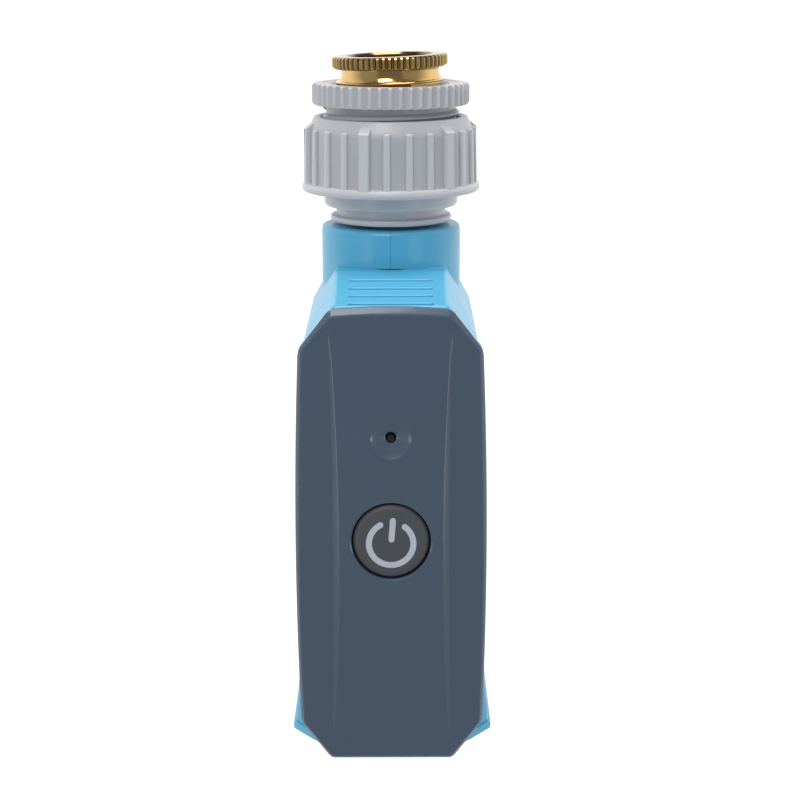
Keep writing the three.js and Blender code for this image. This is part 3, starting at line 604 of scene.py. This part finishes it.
def foot_plan(z, grow, inset=0.0, ahead=0.25):
    """Plan of the flared foot at one height; ahead is how much of its growth goes to the front."""
    g = grow - inset
    plan = mirrored([(12.4 + 0.4 * g, -34.6 - ahead * g), (17.2 + 0.5 * g, -29.0 - 0.8 * ahead * g),
                     (20 + g, -23.4 - 0.2 * g), (20 + g, 13 + 0.3 * g), (14 + 0.8 * g, 18.4 + 0.7 * g)])
    return [(x, y, z) for x, y in plan]


def foot(soft):
    """The flare at the bottom of the case and the lip under it."""
    flare = hull(foot_plan(40, -0.05) + foot_plan(2.6, 3.7) + foot_plan(-0.6, 3.7))
    lip = hull([point for z, grow in ((0.1, 4.3), (-1.5, 4.3), (-2.0, 3.7))
                for point in foot_plan(z, grow, 0, 0.55)])
    return rounded(flare, soft, 4), rounded(lip, 0.3, 4)


def case_slope(inset, soft=0.0):
    """Front part of the case under its sloping top, running on past the seam."""
    front = CASE_FRONT if inset == 0 else -41.4
    ends = [section(y, inset, SLOPE_FOOT + SLOPE_RISE * (y - CASE_FRONT)) for y in (front, -10)]
    bm = hull(ends[0] + ends[1])
    return rounded(bm, soft, 4) if soft else bm


def case_rear(inset, soft=0.0):
    """Rear part of the case, running on past the seam."""
    back = [(x * 0.92, 19 - inset * 0.9, z) for x, _, z in section(0, inset + 1.2, CASE_TOP)]
    bm = hull(section(-26, inset, CASE_TOP) + section(16, inset, CASE_TOP) + back)
    return rounded(bm, soft, 4) if soft else bm


def panel_outline(grow, brow=0.0):
    """Bowed sides, cut corners and a slightly arched top, which brow pulls down."""
    right = [(13.6 + 0.6 * grow, -grow), (14.3 + 0.7 * grow, 0.25 - 0.8 * grow),
             (14.9 + 0.8 * grow, 0.8 - 0.6 * grow),
             (20.6 + 0.8 * grow, 8.3 - 0.5 * grow), (21.05 + 0.9 * grow, 9.2), (21.25 + grow, 10.2)]
    for i in range(1, 17):
        t = i / 16
        x = (1 - t) ** 2 * 21.25 + 2 * t * (1 - t) * 22.9 + t * t * 20.95
        right.append((x + grow, 10.2 + (97.6 - 10.2) * t))
    right += [(20.75 + 0.9 * grow, 98.6 + 0.3 * grow), (20.3 + 0.8 * grow, 99.5 + 0.5 * grow),
              (14.5 + 0.7 * grow, 107.0 + 0.6 * grow), (13.9 + 0.6 * grow, 107.6 + 0.8 * grow),
              (13.1 + 0.5 * grow, 107.95 + grow), (8.6, 108.25 + grow), (4.4, 108.45 + grow)]
    return [(x, z - 0.45 - max(0, z - 97) / 11 * brow) for x, z in mirrored(right)]


def grip_rib(y):
    """Low rounded bar across the sloping top with a bead at each end."""
    z = SLOPE_FOOT + SLOPE_RISE * (y - CASE_FRONT) + 0.05
    bar = disc_x(0.42, -9.2, 9.2, y, z, 20)
    beads = []
    for x in (-9.2, 9.2):
        bead = bmesh.new()
        bmesh.ops.create_uvsphere(bead, u_segments=20, v_segments=12, radius=0.56)
        bmesh.ops.translate(bead, verts=bead.verts, vec=(x, y, z))
        beads.append(bead)
    return merged(bar, *beads)


# ---------------------------------------------------------------- operators
class TIMER_OT_front_case(bpy.types.Operator):
    """Builds the blue drawer shell with its grip ribs"""

    bl_idname = "timer.front_case"
    bl_label = "Front case"

    def execute(self, context):
        edge = context.scene.timer_sizes.edge
        outer = cut(case_slope(0, edge), "UNION", *foot(edge))
        outer = cut(outer, "INTERSECT", block(-40, 40, -60, SEAM + 0.1, -10, 140))
        rim = ((-43.0, -0.3), (-42.92, -0.12), (-42.75, -0.05), (-40.6, -0.05), (-39.6, -0.9))
        outer = cut(outer, "UNION", lofted([[(x, y, z) for x, z in panel_outline(grow)] for y, grow in rim]))
        hollow = [case_slope(2), hull(foot_plan(40, 0, 2) + foot_plan(2.5, 3.0, 2)),
                  disc_y(10.3, -50, -40, 0, BUTTON_HEIGHT, 72), disc_y(1.4, -50, -40, 0, LAMP_HEIGHT, 32)]
        shell = cut(outer, "DIFFERENCE", *hollow)
        extras = [grip_rib(y) for y in (-24.8, -30.8, -36.2, -41.7)]
        for side in (-1, 1):
            for z in (46, 82):
                low, high = sorted((side * 16.5, side * 17.6))
                extras.append(block(low, high, -24, -8.6, z - 1.6, z + 1.6, 0.3, 2))
                low, high = sorted((side * 17.2, side * 18.4))
                extras.append(block(low, high, -24, -18.5, z - 1.6, z + 1.6))
        extras += [disc_y(2.1, -42, -36.8, x, z, 32) for x, z in BOARD_SCREWS]
        placed("drawer_shell", merged(shell, *extras), "shell", "drawer", ["front_case"])
        return {"FINISHED"}


class TIMER_OT_housing(bpy.types.Operator):
    """Builds the two blue housing halves and their neck"""

    bl_idname = "timer.housing"
    bl_label = "Housing halves"

    def execute(self, context):
        sizes = context.scene.timer_sizes
        outer = cut(case_rear(0, sizes.edge), "UNION", *foot(sizes.edge))
        collar = turned([
            (0, 100), (16.9, 100), (16.85, 119.5), (16.7, 120.1), (16.35, 120.45), (15.85, 120.6),
            (0, 120.6)], sizes.turn_steps)
        outer = cut(outer, "UNION", collar)
        outer = cut(outer, "DIFFERENCE", block(-40, 40, -60, SEAM + 0.25, -10, 112.0))
        hollow = [case_rear(2), hull(foot_plan(40, 0, 2) + foot_plan(2.5, 3.0, 2)),
                  disc_z(14.85, 104, 118.6)]
        shell = cut(outer, "DIFFERENCE", *hollow)
        inside = [block(-18.6, 18.6, -8, 17.6, 88, 90), block(-18.6, 18.6, -8, 17.6, 73, 75),
                  disc_z(15.6, 109, 111), disc_z(15.6, 115.3, 117)]
        inside += [disc_x(2.4, -18.6, 18.6, 14.8, z, 32) for z in SCREW_ROWS]
        for side in (-1, 1):
            low, high = sorted((side * 16.4, side * 18.6))
            inside += [block(low, high, -15.4, -9, z - 0.6, z + 0.6) for z in (43.1, 48.9, 79.1, 84.9)]
        shell = cut(shell, "UNION", *inside)
        bores = [disc_z(11.8, 60, 104.5), disc_z(9.9, 100, 122), disc_z(9.3, -5, 5)]
        bores += [disc_x(1.35, -12, 30, 14.8, z, 24) for z in SCREW_ROWS]
        bores += [disc_x(2.6, 17.4, 30, 14.8, z, 40) for z in SCREW_ROWS]
        shell = cut(shell, "DIFFERENCE", *bores)
        for name, side in (("left", -1), ("right", 1)):
            low, high = sorted((side * 0.03, side * 40))
            half = cut(shell.copy(), "INTERSECT", block(low, high, -40, 40, -20, 140))
            placed(f"housing_half_{name}", half, "shell", "housing", [f"housing_{name}"])
        shell.free()
        return {"FINISHED"}


class TIMER_OT_panel(bpy.types.Operator):
    """Builds the slate front panel with its raised middle and lamp dimple"""

    bl_idname = "timer.panel"
    bl_label = "Front panel"

    def execute(self, context):
        rim = context.scene.timer_sizes.rim
        rims = ((-43.2, 0), (-44.2, 0), (-44.85, 0.72), (-45.0, 0.97), (-45.07, 1.2), (-45.1, 1.45))
        brow = 0.8  # how far the top edge of the face is pulled down
        plate = lofted([[(x, y, z) for x, z in panel_outline(-share * rim, share * brow)] for y, share in rims])
        field = self.raised_field()
        plate = cut(plate, "UNION", field)
        face = -45.5
        dimple = turned_y([
            (0, face - 0.6), (5.0, face - 0.6), (4.75, face - 0.05), (4.4, face + 0.12), (3.6, face + 0.32),
            (1.75, face + 0.85), (1.3, face + 1.05), (1.12, face + 1.4), (1.12, -42), (0, -42)],
            0, LAMP_HEIGHT, 72)
        hole = turned_y([
            (0, face - 0.6), (9.65, face - 0.6), (9.5, face - 0.02), (9.2, face + 0.12), (9.1, face + 0.4),
            (9.1, -42), (0, -42)], 0, BUTTON_HEIGHT, 96)
        plate = cut(plate, "DIFFERENCE", dimple, hole)
        placed("slate_panel", plate, "panel", "drawer", ["front_panel"], 28)
        return {"FINISHED"}

    def raised_field(self):
        """Middle of the panel: raised between two bowed ridges that die out at both ends."""
        bm = bmesh.new()
        bmesh.ops.create_grid(bm, x_segments=12, y_segments=96, size=1.0)
        for vert in bm.verts:
            column, v = round(vert.co.x * 6), (vert.co.y + 1) / 2
            bow = 4 * v * (1 - v)
            outer, crest = 14.1 - 0.75 * bow, 13.5 + 0.1 * v - 1.7 * bow
            rise = 0.46 * (outer - crest) * min(1.0, math.sin(math.pi * v) * 6)
            x, share = {
                6: (outer + 0.06, 0.0), 5: (outer - 0.1, 0.12), 4: (crest + 0.22, 0.87), 3: (crest, 0.98),
                2: (crest - 0.3, 1.0), 1: (crest * 0.5, 0.84), 0: (0.0, 0.78)}[abs(column)]
            side = (column > 0) - (column < 0)
            vert.co = Vector((side * x, -45.07 - 0.05 * (share > 0) - rise * share, 4 + 99 * v))
        made = bmesh.ops.extrude_face_region(bm, geom=list(bm.faces))
        for vert in (v for v in made["geom"] if isinstance(v, bmesh.types.BMVert)):
            vert.co.y = -44.0
        bmesh.ops.recalc_face_normals(bm, faces=bm.faces)
        return bm


class TIMER_OT_button(bpy.types.Operator):
    """Builds the round button and its power mark"""

    bl_idname = "timer.button"
    bl_label = "Power button"

    def execute(self, context):
        face = -45.6
        cap = turned_y([
            (0, face + 0.1), (3.0, face + 0.08), (5.6, face + 0.03), (7.0, face), (7.6, face + 0.03),
            (8.15, face + 0.2), (8.5, face + 0.5), (8.72, face + 0.95), (8.8, face + 1.5), (8.8, -42.7),
            (9.9, -42.7), (9.9, -41.9), (2.5, -41.9), (2.5, -41.3), (0, -41.3)], 0, BUTTON_HEIGHT, 128)
        arc, bar = self.mark_arc(face), self.mark_bar(face)
        placed("button_cap", cap, "button", "button", ["power_button"], 30)
        placed("power_mark_ring", arc, "mark", "button", ["button_mark_ring"])
        placed("power_mark_bar", bar, "mark", "button", ["button_mark_bar"])
        return {"FINISHED"}

    def settled(self, bm):
        """The mark turned a little and moved to the middle of the cap."""
        turn = Matrix.Rotation(math.radians(4.4), 3, "Y")
        bmesh.ops.rotate(bm, verts=bm.verts, cent=(0, 0, 0), matrix=turn)
        bmesh.ops.translate(bm, verts=bm.verts, vec=(0, 0, 53.1))
        return bm

    def mark_arc(self, face):
        """Open ring of the power mark, with round ends."""
        bm = bmesh.new()
        inner, outer = 4.42, 5.8
        gap = 33.2  # half the opening at the top, in degrees
        start = math.radians(90 + gap)
        section_points = [
            (inner, face - 0.02), (outer, face - 0.02), (outer, face + 0.5), (inner, face + 0.5)]
        corners = [bm.verts.new((r * math.cos(start), y, r * math.sin(start))) for r, y in section_points]
        profile = bm.faces.new(corners)
        bmesh.ops.spin(bm, geom=[profile, *profile.edges, *corners], cent=(0, 0, 0), axis=(0, -1, 0),
                       dvec=(0, 0, 0), angle=math.radians(360 - 2 * gap), steps=72,
                       use_merge=False, use_duplicate=False)
        bmesh.ops.recalc_face_normals(bm, faces=bm.faces)
        middle = (inner + outer) / 2
        out, up = middle * math.sin(math.radians(gap)), middle * math.cos(math.radians(gap))
        radius = (outer - inner) / 2
        ends = [disc_y(radius, face - 0.021, face + 0.49, side * out, up, 28) for side in (-1, 1)]
        return self.settled(cut(bm, "UNION", *ends))

    def mark_bar(self, face):
        """Upright bar of the power mark, with round ends."""
        bar = block(-0.69, 0.69, face - 0.02, face + 0.5, 1.0, 5.5)
        ends = [disc_y(0.69, face - 0.021, face + 0.49, 0, z, 28) for z in (1.0, 5.5)]
        return self.settled(cut(bar, "UNION", *ends))


class TIMER_OT_fittings(bpy.types.Operator):
    """Builds the grey spigot, swivel nut, ring and outlet"""

    bl_idname = "timer.fittings"
    bl_label = "Grey fittings"

    def execute(self, context):
        sizes = context.scene.timer_sizes
        placed("swivel_nut_body", self.nut(sizes), "nut", "nut", ["swivel_nut"])
        placed("reducer_ring", self.reducer(sizes), "ring", "reducer", ["reducer_adapter"])
        placed("spigot", self.spigot(sizes), "fitting", "housing", ["inlet_spigot"])
        placed("outlet", self.outlet(sizes), "fitting", "housing", ["outlet_stub"])
        return {"FINISHED"}

    def nut(self, sizes):
        """Nut shell with a thick rib for every three thin ones, and its inner thread."""
        shell = turned([
            (16.5, 129.3), (16.8, 128.9), (17.3, 128.7), (20.6, 128.7), (21.15, 128.85), (21.45, 129.2),
            (21.55, 129.7),
            (21.5, 130.2), (21.3, 130.6), (20.9, 130.8), (20.2, 130.9), (20.05, 131.2), (19.9, 142.6),
            (19.75, 143.6), (19.4, 144.6), (18.95, 145.5), (18.75, 146.1), (18.55, 146.45), (18.2, 146.6),
            (17.2, 146.6), (16.8, 146.2), (16.8, 132.7), (17.7, 132.7), (17.7, 130.8), (16.5, 130.8)],
            sizes.turn_steps)
        parts = [shell]
        for i in range(sizes.nut_ribs):
            thick = i % 4 == 0
            half, high, out = (1.68, 145.7, 21.3) if thick else (1.02, 144.1, 20.9)
            rib = block(18.0, out, -half, half, 130.2, high)
            for vert in rib.verts:
                if vert.co.x > 20:
                    vert.co.y *= 0.74 if thick else 0.86
                    vert.co.x -= (2.6 if thick else 0.3) * (vert.co.z > 140)
            if thick:
                shoulder = 144.0
                bmesh.ops.bisect_plane(rib, geom=[*rib.verts, *rib.edges, *rib.faces],
                                       plane_co=(0, 0, shoulder), plane_no=(0, 0, 1))
                for vert in rib.verts:
                    vert.co.x = out if vert.co.x > 18.5 and vert.co.z < shoulder + 0.3 else vert.co.x
            rounded(rib, 0.42 if thick else 0.6, 4, 12, lambda e: max(v.co.x for v in e.verts) > 19.5)
            angle = math.radians(-107.5 + 360 / sizes.nut_ribs * i)
            bmesh.ops.rotate(rib, verts=rib.verts, cent=(0, 0, 0), matrix=Matrix.Rotation(angle, 3, "Z"))
            parts.append(rib)
        parts.append(ridge(16.8, 16.45, 134.0, 146.0, WIDE_PITCH))
        return merged(*parts)

    def reducer(self, sizes):
        """Grey ring with its ribs, its threaded shank and the thread inside it."""
        shank = turned([
            (9.5, 139.0), (15.0, 139.0), (15.55, 139.5), (15.55, 149.9), (13.4, 149.9), (13.4, 145.5),
            (9.5, 145.5)], sizes.turn_steps)
        ring = fluted(18.95, 0.8, sizes.ring_ribs, 149.4, 154.5, 2.4)
        envelope = turned([
            (13.4, 149.4), (18.3, 149.4), (18.7, 149.6), (18.95, 150.1), (18.95, 153.7), (18.75, 154.2),
            (18.35, 154.45), (17.9, 154.5), (16.35, 154.5), (16.25, 154.35), (14.3, 154.35),
            (14.1, 154.25), (13.4, 153.6)], sizes.turn_steps)
        ring = cut(ring, "INTERSECT", envelope)
        outer_thread = ridge(15.5, 16.45, 139.6, 149.7, WIDE_PITCH)
        inner_thread = ridge(13.4, 13.1, 147.9, 154.0, NARROW_PITCH)
        return merged(shank, ring, outer_thread, inner_thread)

    def spigot(self, sizes):
        """Fixed pipe that the nut turns on, with its lower flange."""
        return turned([
            (6.5, 94), (9.5, 94), (9.5, 96.6), (8.0, 96.6), (8.0, 99), (9.5, 99), (9.5, 111.3), (13.2, 111.3),
            (13.2, 115), (9.5, 115), (9.5, 121.5), (14.1, 121.5), (14.5, 121.65), (14.7, 122.0),
            (14.7, 122.55),
            (14.55, 122.85), (14.2, 123.0), (13.7, 123.02), (13.35, 123.15), (13.3, 123.4), (13.3, 124.7),
            (13.4, 125.0), (13.7, 125.1), (15.2, 125.1), (15.8, 125.3), (16.1, 125.75), (16.2, 126.3),
            (16.2, 127.4),
            (16.3, 127.6), (16.3, 130.9), (15.0, 130.9), (15.0, 132.5), (16.3, 132.5), (16.3, 136.2),
            (15.9, 136.6), (8, 136.6), (6.5, 135.1)], sizes.turn_steps)

    def outlet(self, sizes):
        """Pipe through the case with the outlet thread below."""
        tube = turned([
            (6, -13.5), (11.9, -13.5), (12.35, -13.1), (12.35, -2.7), (13.7, -2.7), (13.7, -2.1), (9, -2.1),
            (9, 2.2), (12.2, 2.2), (12.2, 4.4), (8, 5.4), (8, 71.1), (6, 71.1)], sizes.turn_steps)
        return merged(tube, ridge(12.3, 13.15, -12.9, -2.8, NARROW_PITCH))


class TIMER_OT_brass(bpy.types.Operator):
    """Builds the knurled brass adapter, which sits a little out of line in its loose thread"""

    bl_idname = "timer.brass"
    bl_label = "Brass adapter"

    def execute(self, context):
        sizes = context.scene.timer_sizes
        shank = turned([
            (7.2, 147.6), (11.9, 147.6), (12.25, 148.0), (12.25, 154.6), (13.1, 154.75), (13.25, 155.0),
            (13.1, 155.2), (12.4, 155.3), (12.2, 155.6), (12.0, 156.1), (11.85, 156.7), (11.8, 158.4),
            (10.0, 158.4), (10.0, 149.2), (7.2, 149.2)], sizes.turn_steps)
        flange = fluted(13.9, 0.6, sizes.knurls, 158.1, 161.1, 1.2)
        envelope = turned([
            (10.0, 158.1), (13.1, 158.1), (13.5, 158.3), (13.85, 158.75), (13.85, 160.55), (13.6, 160.9),
            (13.2, 161.1), (10.5, 161.1), (10.0, 160.6)], sizes.turn_steps)
        flange = cut(flange, "INTERSECT", envelope)
        outer_thread = ridge(12.2, 13.0, 148.2, 154.9, NARROW_PITCH)
        inner_thread = ridge(10.0, 9.6, 151.2, 160.4, NARROW_PITCH)
        whole = merged(shank, flange, outer_thread, inner_thread)
        lean = Matrix.Rotation(math.radians(-BRASS_LEAN), 3, "Y")
        bmesh.ops.rotate(whole, verts=whole.verts, cent=(0, 0, BRASS_PIVOT), matrix=lean)
        placed("brass_inlet", whole, "brass", "inlet", ["brass_adapter"], 30)
        return {"FINISHED"}


class TIMER_OT_inside(bpy.types.Operator):
    """Builds the tray, cells and screws, and finishes every carried-over part"""

    bl_idname = "timer.inside"
    bl_label = "Inner parts"

    def execute(self, context):
        self.tray()
        for name, side, low, high in (("left", -1, 55.6, 5.1), ("right", 1, 8.1, 58.6)):
            way = 1 if high > low else -1
            profile = [(0, low), (6.7, low), (7.05, low + way * 0.35), (7.05, low + way * 48.5),
                       (6.6, low + way * 49.2), (2.9, low + way * 49.2), (2.7, low + way * 49.5),
                       (2.7, high - way * 0.3), (2.4, high), (0, high)]
            bm = turned(profile, 64)
            bmesh.ops.translate(bm, verts=bm.verts, vec=(side * 7.7, -24, 0))
            placed(f"cell_{name}_wrapped", bm, "cell", "drawer", [f"cell_{name}"])
        for i, z in enumerate(SCREW_ROWS):
            self.screw(f"case_screw_{i + 1}", f"housing_screw_{i + 1}", z)
        self.carried()
        return {"FINISHED"}

    def tray(self):
        """Open tray of the two cells, with a wall between them."""
        outer_plan = mirrored([(11.8, -33.0), (16.2, -28.2), (16.2, -17.6)])
        inner_plan = mirrored([(10.9, -31.8), (15.1, -27.5), (15.1, -10)])
        outer = hull([(x, y, z) for z in (2.9, 60.6) for x, y in outer_plan])
        rounded(outer, 0.5, 3)
        inner = hull([(x, y, z) for z in (4.1, 59.4) for x, y in inner_plan])
        tray = cut(outer, "DIFFERENCE", inner)
        placed("cell_tray", merged(tray, block(-0.35, 0.35, -32, -27.5, 4, 59.5, 0.1, 2)), "tray", "drawer",
               ["battery_tray"])

    def screw(self, name, node, z):
        """Housing screw across the case, with a cross recess in its head."""
        bm = turned([(0, -9.8), (1.1, -8.8), (1.1, 17.7), (2.2, 17.7), (2.2, 18.3), (2.0, 18.9), (1.5, 19.25),
                     (0, 19.35)], 40)
        recess = [block(-1.25, 1.25, -0.28, 0.28, 18.6, 20), block(-0.27, 0.27, -1.24, 1.24, 18.61, 20)]
        bm = cut(bm, "DIFFERENCE", *recess)
        quarter = Matrix.Rotation(math.radians(90), 3, "Y")
        bmesh.ops.rotate(bm, verts=bm.verts, cent=(0, 0, 0), matrix=quarter)
        bmesh.ops.translate(bm, verts=bm.verts, vec=(0, 14.8, z))
        placed(name, bm, "steel", "housing", [node])

    def carried(self):
        """Every part of the frame that still shows gets its own finish."""
        by_slot = {
            "blue_plastic": "shell", "slate_plastic": "panel", "grey_plastic": "fitting",
            "button_plastic": "tray", "mark_plastic": "mark", "brass": "brass", "steel": "steel",
            "rubber": "rubber", "white_plastic": "white",
            "chrome_plate": "chrome", "board_green": "board", "red_sleeve": "red", "cell_jacket": "cell",
            "clear_plastic": "clear"}
        for part in frame["record"]["subparts"]:
            node = frame["nodes"][part["node"]]
            node.data.materials.clear()
            # The light pipe and the lamp take the near-black finish.
            dark = part["node"] in ("light_pipe", "status_led")
            node.data.materials.append(FINISH["near_black" if dark else by_slot[part["material_slot"]]])


class TIMER_OT_stage(bpy.types.Operator):
    """Sets the floor, the soft lights and the camera"""

    bl_idname = "timer.stage"
    bl_label = "Stage"

    def execute(self, context):
        scene = context.scene
        self.floor()
        self.sky(scene)
        centre = Vector((0, -0.01, BASE + 0.075))
        for name, place, size, power in (
                ("key_softbox", (-0.15, -0.55, 0.56), 0.3, 2.2),
                ("top_softbox", (0.05, -0.05, 0.8), 0.5, 3.8),
                ("left_softbox", (-0.56, -0.66, -0.2), 0.16, 0.5),
                ("right_softbox", (0.56, -0.66, -0.2), 0.16, 0.5)):
            self.lamp(name, centre + Vector(place), centre, size, power)
        camera = bpy.data.objects.new("camera", bpy.data.cameras.new("camera"))
        camera.data.lens = 84.06
        camera.data.sensor_width = 36.0
        camera.location = (0.0021, -0.454, BASE + 0.1866)
        camera.rotation_euler = (math.radians(90 - 13.7), 0, 0)
        roll = Matrix.Rotation(math.radians(-0.12), 4, "Z")
        aim = camera.rotation_euler.to_matrix().to_4x4()
        camera.matrix_world = Matrix.Translation(camera.location) @ aim @ roll
        scene.collection.objects.link(camera)
        scene.camera = camera
        scene.view_settings.view_transform = "Standard"
        return {"FINISHED"}

    def floor(self):
        """Pale box round the timer, brighter behind it, with its front and top left open."""
        box = block(-1.3, 1.3, -2.4, 2.0, BASE - 0.45, 1.6)
        gone = [f for f in box.faces if f.normal.y < -0.9 or f.normal.z > 0.9]
        bmesh.ops.delete(box, geom=gone, context="FACES")
        bmesh.ops.reverse_faces(box, faces=box.faces)
        floor = scratch(box, "pale_floor")
        shade = Shade("pale_floor_paint")
        drift = shade.noise(2.0, 2.0)
        _, depth, _ = shade.axes()
        back = ((depth + 0.5) * 1.1).clamped()
        shade.set(Base_Color=shade.mixed(drift, (0.20, 0.20, 0.20), (0.22, 0.22, 0.22)), Roughness=0.9,
                  Emission_Color=shade.mixed(back, (0.25, 0.26, 0.28), (1.0, 1.0, 1.0)),
                  Emission_Strength=0.97)
        floor.data.materials.append(shade.material)

    def sky(self, scene):
        """Faint even light from everywhere."""
        world = bpy.data.worlds.new("studio")
        scene.world = world
        world.use_nodes = True
        background = world.node_tree.nodes["Background"]
        background.inputs["Color"].default_value = (0.95, 0.97, 1.0, 1.0)
        background.inputs["Strength"].default_value = 0.2

    def lamp(self, name, place, target, size, power):
        """Soft square lamp that faces the target."""
        data = bpy.data.lights.new(name, "AREA")
        data.size = size
        data.energy = power
        lamp = bpy.data.objects.new(name, data)
        lamp.location = place
        lamp.rotation_euler = (target - place).to_track_quat("-Z", "Y").to_euler()
        bpy.context.scene.collection.objects.link(lamp)


BUILDERS = (TIMER_OT_front_case, TIMER_OT_housing, TIMER_OT_panel, TIMER_OT_button, TIMER_OT_fittings,
            TIMER_OT_brass, TIMER_OT_inside, TIMER_OT_stage)


class TIMER_PT_sidebar(bpy.types.Panel):
    """Lists the sizes, colours and build steps"""

    bl_label = "Timer"
    bl_idname = "TIMER_PT_sidebar"
    bl_space_type = "VIEW_3D"
    bl_region_type = "UI"
    bl_category = "Timer"

    def draw(self, context):
        for group in (context.scene.timer_sizes, context.scene.timer_colours):
            for key in group.__annotations__:
                self.layout.prop(group, key)
        for builder in BUILDERS:
            self.layout.operator(builder.bl_idname)


CLASSES = (TimerSizes, TimerColours, *BUILDERS, TIMER_PT_sidebar)


def register():
    for cls in CLASSES:
        bpy.utils.register_class(cls)
    bpy.types.Scene.timer_sizes = PointerProperty(type=TimerSizes)
    bpy.types.Scene.timer_colours = PointerProperty(type=TimerColours)


def unregister():
    del bpy.types.Scene.timer_colours
    del bpy.types.Scene.timer_sizes
    for cls in reversed(CLASSES):
        bpy.utils.unregister_class(cls)


def main():
    register()
    FINISH.update(finishes(bpy.context.scene.timer_colours))
    for builder in BUILDERS:
        group, name = builder.bl_idname.split(".")
        getattr(getattr(bpy.ops, group), name)()


if __name__ == "__main__":
    main()
